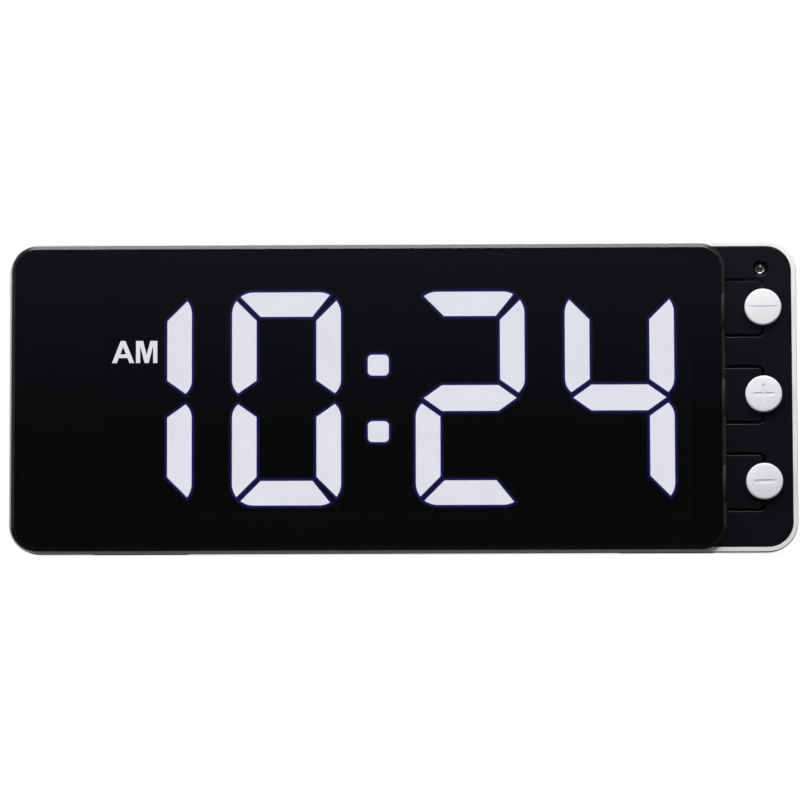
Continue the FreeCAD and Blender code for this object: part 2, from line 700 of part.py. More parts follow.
def screw(x, z, diameter, length, head_d, head_t, seat_y):
    """Screw driven towards the front, its head behind seat_y."""
    shank = prism(x, z, diameter, SCREW_SIDES, seat_y - length, seat_y)
    head = prism(x, z, head_d, POST_SIDES, seat_y, seat_y + head_t)
    return fuse(shank, head)


def board_screws():
    return Part.makeCompound([
        screw(x, z, BOARD_SCREW_D, BOARD_SCREW_L, 2 * BOARD_SCREW_D, 0.7 * BOARD_SCREW_D, BOARD_BACK)
        for x, z in BOARD_BOSSES
    ])


def case_post_end():
    """Rear end of the panel's posts, against the floor of the shell's sunk screw seats."""
    return CASE_D - CASE_SCREW_SINK - WALL


def case_screws():
    return Part.makeCompound([
        screw(x, z, CASE_SCREW_D, CASE_SCREW_L, CASE_SCREW_HEAD_D, CASE_SCREW_HEAD_T,
              CASE_D - CASE_SCREW_SINK)
        for x, z in CASE_POSTS
    ])


def switch_body(z):
    """Touch switch on the board, open at the front for its plunger."""
    half = SWITCH_W / 2
    front = BOARD_Y - SWITCH_T
    body = block(BUTTON_X - half, BUTTON_X + half, front, BOARD_Y, z - half, z + half)
    bore_d = PLUNGER_D + 2 * PLUNGER_FIT
    bore_end = POST_TIP_Y + PLUNGER_L + BUTTON_TRAVEL + FIT
    return cut(body, prism(BUTTON_X, z, bore_d, POST_SIDES, front - 1, bore_end))


def switch_bodies():
    return Part.makeCompound([switch_body(z) for name, z in BUTTONS])


def switch_plunger(z):
    """Plunger that the tongue's post rests on."""
    return prism(BUTTON_X, z, PLUNGER_D, POST_SIDES, POST_TIP_Y, POST_TIP_Y + PLUNGER_L)


def microcontroller():
    """Flat square chip with a chamfered back."""
    half = CHIP_W / 2
    body = block(-half, half, BOARD_BACK, BOARD_BACK + CHIP_T, DISPLAY_Z - half, DISPLAY_Z + half)
    back = BOARD_BACK + CHIP_T
    return body.makeChamfer(CHIP_T / 4, edges_at(body, lambda c: near(c.y, back)))


def clock_crystal():
    """Small tube crystal lying on the board."""
    base = V(CHIP_W, BOARD_BACK + CRYSTAL_D / 2, DISPLAY_Z)
    return Part.makeCylinder(CRYSTAL_D / 2, CRYSTAL_L, base, V(1, 0, 0))


def capacitors():
    """Three upright capacitors in a row."""
    return Part.makeCompound([
        prism(-2 * CHIP_W - i * CAPACITOR_PITCH, DISPLAY_Z, CAPACITOR_D, POST_SIDES,
              BOARD_BACK, BOARD_BACK + CAPACITOR_L)
        for i in range(3)
    ])


def buzzer():
    """Round sounder with its sound hole to the rear."""
    back = BOARD_BACK + BUZZER_T
    can = rod(BUZZER_X, CASE_H / 2, BUZZER_D, BOARD_BACK, back)
    return cut(can, prism(BUZZER_X, CASE_H / 2, BUZZER_D / 5, POST_SIDES, back - 1, back + 1))


# Rear shell

def back_inset(y):
    return BACK_INSET * (y - BAND_END) / (CASE_D - BAND_END)


def slim_body():
    """Outside of the slim case: straight band, then a back that draws in and rolls over at its edge."""
    band = Part.Face(case_outline(0, PANEL_Y)).extrude(V(0, BAND_D, 0))
    band = band.makeChamfer(RIM_EDGE, edges_at(band, lambda c: near(c.y, PANEL_Y)))
    turn = CASE_D - BACK_EDGE
    taper = Part.makeLoft([case_outline(0, BAND_END), case_outline(back_inset(turn), turn)], True, True)
    edge = Part.makeLoft([
        case_outline(back_inset(turn), turn),
        case_outline(BACK_INSET + BACK_EDGE / 2, CASE_D),
    ], True, True)
    return band.fuse([taper, edge])


def slim_cavity():
    """Inside of the slim case, with a shallow step that the panel drops into."""
    seat = Part.Face(case_outline(RIM_W, PANEL_Y - 1, CASE_R - RIM_W)).extrude(V(0, PANEL_T + 1, 0))
    slope_wall = WALL / math.cos(math.atan(BACK_INSET / (CASE_D - BAND_END)))
    straight = Part.Face(inner_outline(WALL, PANEL_BACK)).extrude(V(0, BAND_END - PANEL_BACK, 0))
    taper = Part.makeLoft([
        inner_outline(WALL, BAND_END),
        inner_outline(slope_wall + back_inset(CASE_INNER_BACK), CASE_INNER_BACK),
    ], True, True)
    return fuse(seat, straight, taper)


def pod_body(inset, front):
    """Pod behind the case with rounded edges, or its inside with cut edges; parallel to the table below."""
    back = POD_D - inset
    top = POD_TOP - inset
    half = POD_W / 2 - inset
    low_front = table_z(front) + POD_LIFT + inset
    low_back = table_z(back) + POD_LIFT + inset
    corners = [V(-half, y, z) for y, z in ((front, low_front), (back, low_back), (back, top), (front, top))]
    face = Part.Face(Part.makePolygon(corners + corners[:1]))
    pod = face.extrude(V(2 * half, 0, 0))
    free = edges_at(pod, lambda c: c.y > front + 0.01)
    if inset:
        return pod.makeChamfer(POD_EDGE_R - inset, free)
    return pod.makeFillet(POD_EDGE_R, free)


def rear_wall_holes():
    """Openings in the pod's back: battery door, power socket, projector switch."""
    holes = [
        rod(DOOR_X, DOOR_Z, DOOR_D + 2 * FIT, POD_D - DOOR_LIP_T - FIT, POD_D + 1),
        rod(DOOR_X, DOOR_Z, DOOR_PLUG_D + 4 * FIT, POD_INNER_BACK - 1, POD_D),
    ]
    for turn in (0, 180):
        lug_d = DOOR_PLUG_D + 2 * DOOR_LUG_OUT + 6 * FIT
        room = Part.makeCylinder(lug_d / 2, WALL + 2, V(DOOR_X, POD_INNER_BACK - 1, DOOR_Z), V(0, 1, 0),
                                 DOOR_LUG_DEG + 6)
        room.rotate(V(DOOR_X, 0, DOOR_Z), V(0, 1, 0), lug_start() - DOOR_TURN_DEG - 3 + turn)
        holes.append(cut(room, block(DOOR_X - DOOR_D, DOOR_X + DOOR_D, POD_D - DOOR_LIP_T, POD_D + 2,
                                     DOOR_Z - DOOR_D, DOOR_Z + DOOR_D)))
    half_w, half_h = SOCKET_W / 2 + 2 * FIT, SOCKET_H / 2 + 2 * FIT
    holes.append(plate(IO_X - half_w, IO_X + half_w, SOCKET_Z - half_h, SOCKET_Z + half_h,
                       half_h, POD_INNER_BACK - 1, POD_D + 1))
    half_w = (KNOB_W + KNOB_TRAVEL) / 2 + 2 * FIT
    half_h = KNOB_H / 2 + 2 * FIT
    holes.append(plate(IO_X - half_w, IO_X + half_w, SWITCH_Z - half_h, SWITCH_Z + half_h,
                       0.4, POD_INNER_BACK - 1, POD_D + 1))
    return holes


def sound_holes():
    """Seven small holes behind the buzzer."""
    centres = [(0, 0)]
    for i in range(6):
        angle = math.radians(60 * i)
        centres.append((SOUND_HOLE_PITCH * math.cos(angle), SOUND_HOLE_PITCH * math.sin(angle)))
    return [prism(BUZZER_X + dx, CASE_H / 2 + dz, SOUND_HOLE_D, POST_SIDES, CASE_INNER_BACK - 1, CASE_D + 1)
            for dx, dz in centres]


def rear_shell():
    """White rear shell: slim case, pod, screw seats, board posts, rest ribs and its openings."""
    outside = slim_body().fuse(pod_body(0, CASE_D - WALL / 2))
    inside = slim_cavity().fuse(pod_body(WALL, CASE_INNER_BACK - 1))
    shell = outside.cut(inside)
    seat_d = CASE_SCREW_HEAD_D + 2 * SCREW_CLEAR
    added = [prism(x, z, seat_d + 2 * WALL, POST_SIDES, case_post_end(), CASE_D - WALL / 2)
             for x, z in CASE_POSTS]
    added += [prism(x, z, BOARD_BOSS_D, POST_SIDES, REAR_BOARD_BACK, POD_D - WALL / 2)
              for x, z in REAR_BOARD_POSTS]
    for x in (-HALF_W / 2, HALF_W / 2):
        for z in (RIM_W / 2, CASE_H - RIM_W / 2 - REST_RIB_D - 1):
            added.append(block(x - REST_RIB_W / 2, x + REST_RIB_W / 2, PANEL_BACK, PANEL_BACK + WALL,
                               z, z + REST_RIB_D + 1))
    shell = shell.fuse(added)
    holes = [prism(x, z, seat_d, 2 * POST_SIDES, CASE_D - CASE_SCREW_SINK, CASE_D + 1) for x, z in CASE_POSTS]
    holes += [prism(x, z, CASE_SCREW_D + SCREW_CLEAR, SCREW_SIDES, 0, CASE_D) for x, z in CASE_POSTS]
    holes += [prism(x, z, BOARD_SCREW_D, SCREW_SIDES, REAR_BOARD_BACK - 1,
                    REAR_BOARD_BACK - REAR_BOARD_T + BOARD_SCREW_L + FIT)
              for x, z in REAR_BOARD_POSTS]
    holes += rear_wall_holes() + sound_holes()
    for side in (-1, 1):
        x = side * (EAR_X0 + EAR_T / 2)
        holes.append(upright_prism(x, CRADLE_SCREW_D + SCREW_CLEAR, SCREW_SIDES,
                                   POD_TOP - 1.5 * WALL, POD_TOP + WALL / 2))
    return shell.cut(holes)


# Feet

def front_foot(x):
    """Soft bar that fills the wedge between the case's drawn-in underside and the table."""
    y0, y1 = FRONT_FOOT_Y, FRONT_FOOT_Y + FRONT_FOOT_D
    corners = [V(x - FRONT_FOOT_W / 2, y, z) for y, z in (
        (y0, table_z(y0)), (y1, table_z(y1)), (y1, back_inset(y1)), (y0, back_inset(y0)))]
    bar = Part.Face(Part.makePolygon(corners + corners[:1])).extrude(V(FRONT_FOOT_W, 0, 0))
    return bar.makeChamfer(FOOT_CORNER, edges_at(bar, lambda c: near(abs(c.x - x), FRONT_FOOT_W / 2)
                                                 and (near(c.y, y0) or near(c.y, y1))))


def rear_foot(x):
    """Round soft foot under the pod, square to the table."""
    y = POD_D - REAR_FOOT_IN
    up = V(0, -math.sin(LEAN), math.cos(LEAN))
    return Part.makeCylinder(REAR_FOOT_D / 2, POD_LIFT * math.cos(LEAN), V(x, y, table_z(y)), up)


# Projector

def lathe(profile, x, y, z):
    """Solid turned about a vertical axis from (radius, height) points."""
    points = [V(x + r, y, z + h) for r, h in profile]
    face = Part.Face(Part.makePolygon(points + points[:1]))
    return face.revolve(V(x, y, z), V(0, 0, 1), 360)


def drum():
    """Whole projector drum with its axle stubs, collar and nozzle, hollow inside."""
    along = V(1, 0, 0)
    body = Part.makeCylinder(DRUM_R, DRUM_W, V(-DRUM_W / 2, AXLE_Y, AXLE_Z), along)
    body = body.makeChamfer(DRUM_EDGE, edges_at(body, lambda c: near(abs(c.x), DRUM_W / 2)))
    axle = Part.makeCylinder(AXLE_D / 2, 2 * EAR_X1, V(-EAR_X1, AXLE_Y, AXLE_Z), along)
    collar = Part.makeCylinder(COLLAR_D / 2, COLLAR_L, V(0, AXLE_Y, AXLE_Z))
    nozzle = Part.makeCylinder(NOZZLE_D / 2, NOZZLE_L, V(0, AXLE_Y, AXLE_Z))
    body = fuse(body, axle, collar, nozzle)
    inner_r = DRUM_R - DRUM_WALL
    inner_w = DRUM_W - 2 * DRUM_WALL
    hollow = Part.makeCylinder(inner_r, inner_w, V(-inner_w / 2, AXLE_Y, AXLE_Z), along)
    bore = Part.makeCylinder(BORE_R, NOZZLE_L + 1, V(0, AXLE_Y, AXLE_Z))
    return cut(body, hollow, bore)


def half_space(upper):
    side = 3 * DRUM_W
    z = AXLE_Z if upper else AXLE_Z - side
    return Part.makeBox(side, side, side, V(-side / 2, AXLE_Y - side / 2, z))


def drum_top():
    """Upper drum half with the nozzle, and the tube inside that grips the optics carrier."""
    grip_r = CARRIER_D / 2 + GRIP_WALL
    low = AXLE_Z + CARRIER_TOP - GRIP_L
    grip = upright_prism(0, 2 * grip_r, ROUND_SIDES, low, low + DRUM_R)
    inside = Part.makeCylinder(DRUM_R - DRUM_WALL / 2, DRUM_W, V(-DRUM_W / 2, AXLE_Y, AXLE_Z), V(1, 0, 0))
    grip = grip.common(inside)
    room = Part.makeCylinder(CARRIER_D / 2 + FIT, CARRIER_TOP, V(0, AXLE_Y, AXLE_Z))
    bore = Part.makeCylinder(BORE_R, NOZZLE_L + 1, V(0, AXLE_Y, AXLE_Z))
    return cut(fuse(drum().common(half_space(True)), grip), room, bore)


def drum_bottom():
    """Lower drum half with the post under the lamp board."""
    low = -LAMP_BOARD_DROP - LAMP_BOARD_T
    depth = DRUM_R - DRUM_WALL / 2 + low
    post = Part.makeCylinder(CARRIER_D / 4, depth, V(0, AXLE_Y, AXLE_Z + low - depth))
    return fuse(drum().common(half_space(False)), post)


def optics_carrier():
    """Tube on the lamp board that holds the condenser and the slide in line."""
    low = AXLE_Z - LAMP_BOARD_DROP
    shelf = AXLE_Z + CONDENSER_LOW
    top = AXLE_Z + CARRIER_TOP
    bore_d = 2 * CARRIER_R / math.cos(math.pi / ROUND_SIDES)
    tube = upright_prism(0, CARRIER_D, ROUND_SIDES, low, top)
    return cut(tube, upright_prism(0, bore_d - 2 * CARRIER_SHELF, ROUND_SIDES, low - 1, shelf + 1),
               upright_prism(0, bore_d, ROUND_SIDES, shelf, top + 1))


def lamp_board():
    """Small square board between the drum's post and the carrier."""
    half = LAMP_BOARD_W / 2
    top = AXLE_Z - LAMP_BOARD_DROP
    return block(-half, half, AXLE_Y - half, AXLE_Y + half, top - LAMP_BOARD_T, top)


def projector_lamp():
    """Round lamp with a domed end."""
    return domed_rod(LAMP_D / 2, LAMP_L, V(0, AXLE_Y, AXLE_Z - LAMP_BOARD_DROP), V(0, 0, 1))


def dome_lens(radius, thickness, base_z):
    """Lens with a flat side down and a crowned side up."""
    edge = LENS_EDGE_SHARE * thickness
    crown = thickness - edge
    ball = (radius * radius + crown * crown) / (2 * crown)
    profile = [(0, 0), (radius, 0), (radius, edge)]
    turn = 0.6 * radius
    profile.append((turn, thickness - ball + math.sqrt(ball * ball - turn * turn)))
    profile.append((0, thickness))
    return lathe(profile, 0, AXLE_Y, base_z)


def condenser_lens():
    return dome_lens(CARRIER_R - FIT / 2, CONDENSER_T, AXLE_Z + CONDENSER_LOW)


def image_slide():
    """Square film with the projected image, its corners in the carrier's mouth."""
    half = (CARRIER_R - FIT / 2) / math.sqrt(2)
    top = AXLE_Z + CARRIER_TOP
    return block(-half, half, AXLE_Y - half, AXLE_Y + half, top - SLIDE_T, top)


def objective_lens():
    """Front lens of the projector, under the lip of the focus ring."""
    return dome_lens(OBJECTIVE_D / 2, OBJECTIVE_T, AXLE_Z + NOZZLE_L + FIT - LENS_EDGE_SHARE * OBJECTIVE_T)


def focus_ring():
    """Ring with gripping flats that turns on the nozzle, with a lip over the objective."""
    low = COLLAR_L + EAR_GAP
    seat = NOZZLE_L + FIT
    top = seat + (1 - LENS_EDGE_SHARE) * OBJECTIVE_T + FOCUS_LIP_T
    points = []
    for i in range(FOCUS_FLATS + 1):
        angle = 2 * math.pi * i / FOCUS_FLATS
        points.append(V(math.cos(angle), math.sin(angle), 0) * (FOCUS_RING_D / 2))
    ring = Part.Face(Part.makePolygon(points)).extrude(V(0, 0, top - low))
    ring.translate(V(0, AXLE_Y, AXLE_Z + low))
    bores = [
        (NOZZLE_D / 2 + RUNNING_FIT, low - 1, seat),
        (OBJECTIVE_D / 2 + FIT / 2, low, top - FOCUS_LIP_T),
        (FOCUS_MOUTH_D / 2, low, top + 1),
    ]
    tools = [Part.makeCylinder(r, z1 - z0, V(0, AXLE_Y, AXLE_Z + z0)) for r, z0, z1 in bores]
    return cut(ring, *tools)


def projector_cradle():
    """Base on the pod with two ears that hold the drum's axle."""
    along = V(1, 0, 0)
    base = block(-EAR_X1, EAR_X1, AXLE_Y - EAR_R, AXLE_Y + EAR_R, POD_TOP, POD_TOP + CRADLE_T)
    cradle = [base]
    for x in (-EAR_X1, EAR_X0):
        cradle.append(block(x, x + EAR_T, AXLE_Y - EAR_R, AXLE_Y + EAR_R, POD_TOP, AXLE_Z))
        cradle.append(Part.makeCylinder(EAR_R, EAR_T, V(x, AXLE_Y, AXLE_Z), along))
    bore = Part.makeCylinder(AXLE_D / 2 + RUNNING_FIT, 4 * EAR_X1, V(-2 * EAR_X1, AXLE_Y, AXLE_Z), along)
    holes = [bore]
    for side in (-1, 1):
        x = side * (EAR_X0 + EAR_T / 2)
        holes.append(upright_prism(x, CRADLE_SCREW_D, SCREW_SIDES, POD_TOP, POD_TOP + CRADLE_SCREW_L - WALL))
    return cut(fuse(*cradle), *holes)


def cradle_screws():
    """Two screws driven up through the pod's roof into the ears."""
    screws = []
    seat = POD_TOP - WALL
    for side in (-1, 1):
        x = side * (EAR_X0 + EAR_T / 2)
        shank = upright_prism(x, CRADLE_SCREW_D, SCREW_SIDES, seat, seat + CRADLE_SCREW_L)
        head = upright_prism(x, 2 * CRADLE_SCREW_D, POST_SIDES, seat - 0.7 * CRADLE_SCREW_D, seat)
        screws.append(fuse(shank, head))
    return Part.makeCompound(screws)


# Battery and its door

def lug_start():
    """Angle at which the first lug of the closed door begins."""
    return 90 - DOOR_LUG_DEG / 2


def battery_door():
    """Round door with a coin slot and two bayonet lugs behind the wall."""
    lip = rod(DOOR_X, DOOR_Z, DOOR_D, POD_D - DOOR_LIP_T, POD_D)
    plug_y = POD_INNER_BACK - DOOR_SKIRT_D
    door = fuse(lip, rod(DOOR_X, DOOR_Z, DOOR_PLUG_D, plug_y, POD_D - DOOR_LIP_T / 2))
    for turn in (0, 180):
        lug = Part.makeCylinder(DOOR_PLUG_D / 2 + DOOR_LUG_OUT, DOOR_LUG_T, V(DOOR_X, plug_y, DOOR_Z),
                                V(0, 1, 0), DOOR_LUG_DEG)
        lug.rotate(V(DOOR_X, 0, DOOR_Z), V(0, 1, 0), lug_start() + turn)
        door = fuse(door, lug)
    slot = plate(DOOR_X - DOOR_SLOT_L / 2, DOOR_X + DOOR_SLOT_L / 2, DOOR_Z - DOOR_SLOT_W / 2,
                 DOOR_Z + DOOR_SLOT_W / 2, DOOR_SLOT_W, POD_D - DOOR_SLOT_D, POD_D + 1)
    return cut(door, slot)


def cell_back():
    """Rear face of the coin cell, just inside the closed door."""
    return POD_INNER_BACK - DOOR_SKIRT_D - FIT


def battery_holder():
    """Square cup behind the door: a pocket for the cell, and room for the lugs to turn."""
    floor = cell_back() - CELL_T - CONTACT_T - FIT
    half = HOLDER_W / 2
    cup = block(DOOR_X - half, DOOR_X + half, floor - HOLDER_FLOOR, POD_INNER_BACK,
                DOOR_Z - half, DOOR_Z + half)
    pocket = prism(DOOR_X, DOOR_Z, CELL_D + 4 * FIT, ROUND_SIDES, floor, POD_D)
    lug_room = prism(DOOR_X, DOOR_Z, DOOR_PLUG_D + 2 * DOOR_LUG_OUT + 6 * FIT, ROUND_SIDES,
                     POD_INNER_BACK - DOOR_SKIRT_D - 3 * FIT, POD_D)
    return cut(cup, pocket, lug_room)


def coin_cell():
    return prism(DOOR_X, DOOR_Z, CELL_D, ROUND_SIDES, cell_back() - CELL_T, cell_back())


def battery_contact():
    """Strip on the cup's floor under the cell."""
    floor = cell_back() - CELL_T - CONTACT_T - FIT
    half = CONTACT_L / 2
    return block(DOOR_X - half, DOOR_X + half, floor, floor + CONTACT_T,
                 DOOR_Z - CONTACT_W / 2, DOOR_Z + CONTACT_W / 2)


# Power socket and projector switch

def rear_board():
    board = block(IO_X - REAR_BOARD_W / 2, IO_X + REAR_BOARD_W / 2,
                  REAR_BOARD_BACK - REAR_BOARD_T, REAR_BOARD_BACK, REAR_BOARD_Z0, REAR_BOARD_Z1)
    holes = [prism(x, z, BOARD_SCREW_D + SCREW_CLEAR, SCREW_SIDES, 0, POD_D) for x, z in REAR_BOARD_POSTS]
    return cut(board, *holes)


def rear_board_screws():
    """Two screws driven from the front into the posts on the pod's back."""
    screws = []
    seat = REAR_BOARD_BACK - REAR_BOARD_T
    for x, z in REAR_BOARD_POSTS:
        shank = prism(x, z, BOARD_SCREW_D, SCREW_SIDES, seat, seat + BOARD_SCREW_L)
        head = prism(x, z, 2 * BOARD_SCREW_D, POST_SIDES, seat - 0.7 * BOARD_SCREW_D, seat)
        screws.append(fuse(shank, head))
    return Part.makeCompound(screws)


def power_socket():
    """Flat oval metal socket with a contact tongue inside, open to the rear."""
    def oval(grow, y0, y1):
        half_w, half_h = SOCKET_W / 2 + grow, SOCKET_H / 2 + grow
        return plate(IO_X - half_w, IO_X + half_w, SOCKET_Z - half_h, SOCKET_Z + half_h, half_h, y0, y1)

    floor = REAR_BOARD_BACK + 1
    shell = cut(oval(0, REAR_BOARD_BACK, POD_D), oval(-SOCKET_WALL, floor, POD_D + 1))
    half = 0.35 * SOCKET_W
    tongue = block(IO_X - half, IO_X + half, floor - 0.5, POD_D - 1,
                   SOCKET_Z - SOCKET_TONGUE_T / 2, SOCKET_Z + SOCKET_TONGUE_T / 2)
    return fuse(shell, tongue)


def slide_switch():
    """Body of the projector's slide switch, with the slot that its knob runs in."""
    back = REAR_BOARD_BACK + SLIDER_BODY_D
    body = block(IO_X - SLIDER_BODY_W / 2, IO_X + SLIDER_BODY_W / 2, REAR_BOARD_BACK, back,
                 SWITCH_Z - SLIDER_BODY_H / 2, SWITCH_Z + SLIDER_BODY_H / 2)
    half_w = (KNOB_W + KNOB_TRAVEL) / 2 + FIT
    half_h = KNOB_H / 2 + FIT
    return cut(body, block(IO_X - half_w, IO_X + half_w, back - KNOB_ROOT - FIT, back + 1,
                           SWITCH_Z - half_h, SWITCH_Z + half_h))


def slide_knob():
    """Knob at its left end, with three grip ridges across its face."""
    x = IO_X - KNOB_TRAVEL / 2
    root = REAR_BOARD_BACK + SLIDER_BODY_D - KNOB_ROOT
    knob = block(x - KNOB_W / 2, x + KNOB_W / 2, root, KNOB_Y, SWITCH_Z - KNOB_H / 2, SWITCH_Z + KNOB_H / 2)
    ridge = KNOB_W / 6
    grooves = [
        block(x + i * ridge * 2 - ridge / 2, x + i * ridge * 2 + ridge / 2, KNOB_Y - 0.3, KNOB_Y + 1,
              SWITCH_Z - KNOB_H, SWITCH_Z + KNOB_H)
        for i in (-0.5, 0.5)
    ]
    return cut(knob, *grooves)


def build():
    """Every sub-part, upright."""
    nodes = {
        "rear_shell": rear_shell(),
        "front_panel": front_panel(),
        "front_lens": front_lens(),
        "lens_tape": lens_tape(),
        "segment_reflector": segment_reflector(),
        "unlit_segments": display_inserts("unlit"),
        "colon_dots": display_inserts("colon"),
        "am_indicator": display_inserts("am"),
        "segment_leds": segment_leds(),
        "main_board": main_board(),
        "board_screws": board_screws(),
        "case_screws": case_screws(),
        "switch_bodies": switch_bodies(),
        "light_sensor": light_sensor(),
        "microcontroller": microcontroller(),
        "clock_crystal": clock_crystal(),
        "capacitors": capacitors(),
        "buzzer": buzzer(),
        "front_foot_left": front_foot(-FRONT_FOOT_X),
        "front_foot_right": front_foot(FRONT_FOOT_X),
        "rear_foot_left": rear_foot(-REAR_FOOT_X),
        "rear_foot_right": rear_foot(REAR_FOOT_X),
        "projector_cradle": projector_cradle(),
        "cradle_screws": cradle_screws(),
        "drum_top": drum_top(),
        "drum_bottom": drum_bottom(),
        "optics_carrier": optics_carrier(),
        "lamp_board": lamp_board(),
        "projector_lamp": projector_lamp(),
        "condenser_lens": condenser_lens(),
        "image_slide": image_slide(),
        "objective_lens": objective_lens(),
        "focus_ring": focus_ring(),
        "battery_door": battery_door(),
        "battery_holder": battery_holder(),
        "coin_cell": coin_cell(),
        "battery_contact": battery_contact(),
        "rear_board": rear_board(),
        "rear_board_screws": rear_board_screws(),
        "power_socket": power_socket(),
        "slide_switch": slide_switch(),
        "slide_knob": slide_knob(),
    }
    for digit, x, letters, lit in DIGITS:
        nodes[digit + "_segments"] = display_inserts("lit", digit)
    for name, z in BUTTONS:
        nodes[name + "_button"] = button_cap(z)
        nodes[name + "_tongue"] = button_tongue(z)
        nodes[name + "_plunger"] = switch_plunger(z)
    return nodes


def stand(shape, shift=V(0, 0, 0)):
    """Leans a shape back and moves it, so that the clock stands on the table."""
    shape.rotate(V(0, 0, 0), V(1, 0, 0), -LEAN_DEG)
    shape.translate(shift)
    return shape


def standing_shift():
    """Moves the leaned clock so that its box is centred on the origin and its feet are at z = 0."""
    front = stand(block(-HALF_W, HALF_W, 0, 1, LENS_INSET + LENS_BEVEL, CASE_H - LENS_INSET - LENS_BEVEL))
    pod = stand(pod_body(0, CASE_D))
    low = stand(Part.Vertex(V(0, BAND_END, -TABLE_GAP)))
    y0 = min(front.BoundBox.YMin, stand(front_lens()).BoundBox.YMin)
    y1 = pod.BoundBox.YMax
    return V(0, -(y0 + y1) / 2, -low.Z)


def main():
    os.makedirs("parts", exist_ok=True)
    shift = standing_shift()
    for name, shape in build().items():
        placed = stand(shape, shift)
        if not placed.isValid():
            raise RuntimeError(name + " is not a valid shape")
        placed.exportStep("parts/" + name + ".step")
        print(name, len(placed.Solids), "solids", round(placed.Volume, 1), "mm3")


main()
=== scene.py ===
import bpy
import json
import math
from mathutils import Matrix, Quaternion, Vector

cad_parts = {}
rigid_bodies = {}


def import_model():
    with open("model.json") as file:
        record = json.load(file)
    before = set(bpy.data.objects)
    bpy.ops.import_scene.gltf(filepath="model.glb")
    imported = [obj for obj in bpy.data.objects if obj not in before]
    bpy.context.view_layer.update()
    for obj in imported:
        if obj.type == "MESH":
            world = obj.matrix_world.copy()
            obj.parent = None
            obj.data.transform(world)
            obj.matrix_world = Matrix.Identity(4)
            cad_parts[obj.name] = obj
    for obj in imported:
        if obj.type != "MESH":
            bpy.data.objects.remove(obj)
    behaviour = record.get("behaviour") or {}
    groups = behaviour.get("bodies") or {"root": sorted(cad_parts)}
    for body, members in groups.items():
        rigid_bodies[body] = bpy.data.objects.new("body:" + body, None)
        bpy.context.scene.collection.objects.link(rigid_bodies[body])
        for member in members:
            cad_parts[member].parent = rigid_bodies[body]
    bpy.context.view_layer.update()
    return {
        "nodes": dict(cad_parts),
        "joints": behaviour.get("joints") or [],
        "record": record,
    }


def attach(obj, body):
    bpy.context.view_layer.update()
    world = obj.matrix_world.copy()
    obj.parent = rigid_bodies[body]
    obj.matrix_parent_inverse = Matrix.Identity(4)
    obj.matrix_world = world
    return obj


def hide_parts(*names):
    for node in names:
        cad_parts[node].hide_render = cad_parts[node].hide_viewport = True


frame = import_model()
nodes = frame["nodes"]
joints = {joint["name"]: joint for joint in frame["joints"]}
mm = 0.001
hair = 0.01 * mm        # how near to a plane a point counts as on it
mostly = 0.5            # share of a normal or of a length that counts as most of it
nearly = 0.9
fully = 0.999

# The clock leans back. Pieces are modelled upright, with x to the right, y from the lens to the rear
# and z up the face, and are leaned back when they are done.
upTheFace = Vector(joints["mode_press"]["axis"])
leanBack = Matrix.Rotation(-math.atan2(upTheFace.y, upTheFace.z), 4, "X")
standUp = leanBack.inverted()


# Working tools

def clearSelection():
    for thing in bpy.data.objects:
        thing.select_set(False)


def pick(piece):
    clearSelection()
    piece.select_set(True)
    bpy.context.view_layer.objects.active = piece


def settle(piece, place=None):
    # puts the piece at a place, and writes that place into its mesh
    if place:
        piece.matrix_world = place
    pick(piece)
    bpy.ops.object.transform_apply(location=True, rotation=True, scale=True)


def addBox(name, low, high):
    clearSelection()
    bpy.ops.mesh.primitive_cube_add(size=1, location=[(a + b) / 2 for a, b in zip(low, high)],
                                    scale=[b - a for a, b in zip(low, high)])
    piece = bpy.context.object
    piece.name = name
    settle(piece)
    return piece


def addRod(name, start, radius, length, sides, along="Y"):
    axis = {"X": Vector((1, 0, 0)), "Y": Vector((0, 1, 0)), "Z": Vector((0, 0, 1))}[along]
    turn = {"X": (0, math.pi / 2, 0), "Y": (math.pi / 2, 0, 0), "Z": (0, 0, 0)}[along]
    clearSelection()
    bpy.ops.mesh.primitive_cylinder_add(vertices=sides, radius=radius, depth=abs(length),
                                        location=Vector(start) + axis * length / 2, rotation=turn)
    piece = bpy.context.object
    piece.name = name
    settle(piece)
    return piece


def edit(piece, kind, test):
    # opens the piece in edit mode with only the parts that pass the test selected:
    # a vertex by its place, an edge by its middle and direction, a face by its middle and normal
    pick(piece)
    bpy.context.tool_settings.mesh_select_mode = (kind == "VERT", kind == "EDGE", kind == "FACE")
    mesh = piece.data
    for part in list(mesh.vertices) + list(mesh.edges) + list(mesh.polygons):
        part.select = False
    if kind == "FACE":
        for face in mesh.polygons:
            face.select = bool(test(face.center, face.normal))
    elif kind == "VERT":
        for vertex in mesh.vertices:
            vertex.select = bool(test(vertex.co))
    else:
        for line in mesh.edges:
            a, b = (mesh.vertices[i].co for i in line.vertices)
            line.select = bool(test((a + b) / 2, b - a))
    bpy.ops.object.mode_set(mode="EDIT")


def done():
    bpy.ops.object.mode_set(mode="OBJECT")


def pull(vector):
    # extrudes the selected faces by a vector
    bpy.ops.mesh.extrude_region_move(TRANSFORM_OT_translate={"value": vector, "orient_type": "GLOBAL"})


def roundEdges(piece, test, width, segments):
    edit(piece, "EDGE", test)
    bpy.ops.mesh.bevel(offset=width, segments=segments, profile=0.5, affect="EDGES")
    done()


def useModifier(piece, kind, **settings):
    pick(piece)
    modifier = piece.modifiers.new(kind, kind)
    for key, value in settings.items():
        setattr(modifier, key, value)
    bpy.ops.object.modifier_apply(modifier=modifier.name)


def soften(piece, width, segments=2, angle=35):
    useModifier(piece, "BEVEL", width=width, segments=segments, limit_method="ANGLE",
                angle_limit=math.radians(angle))


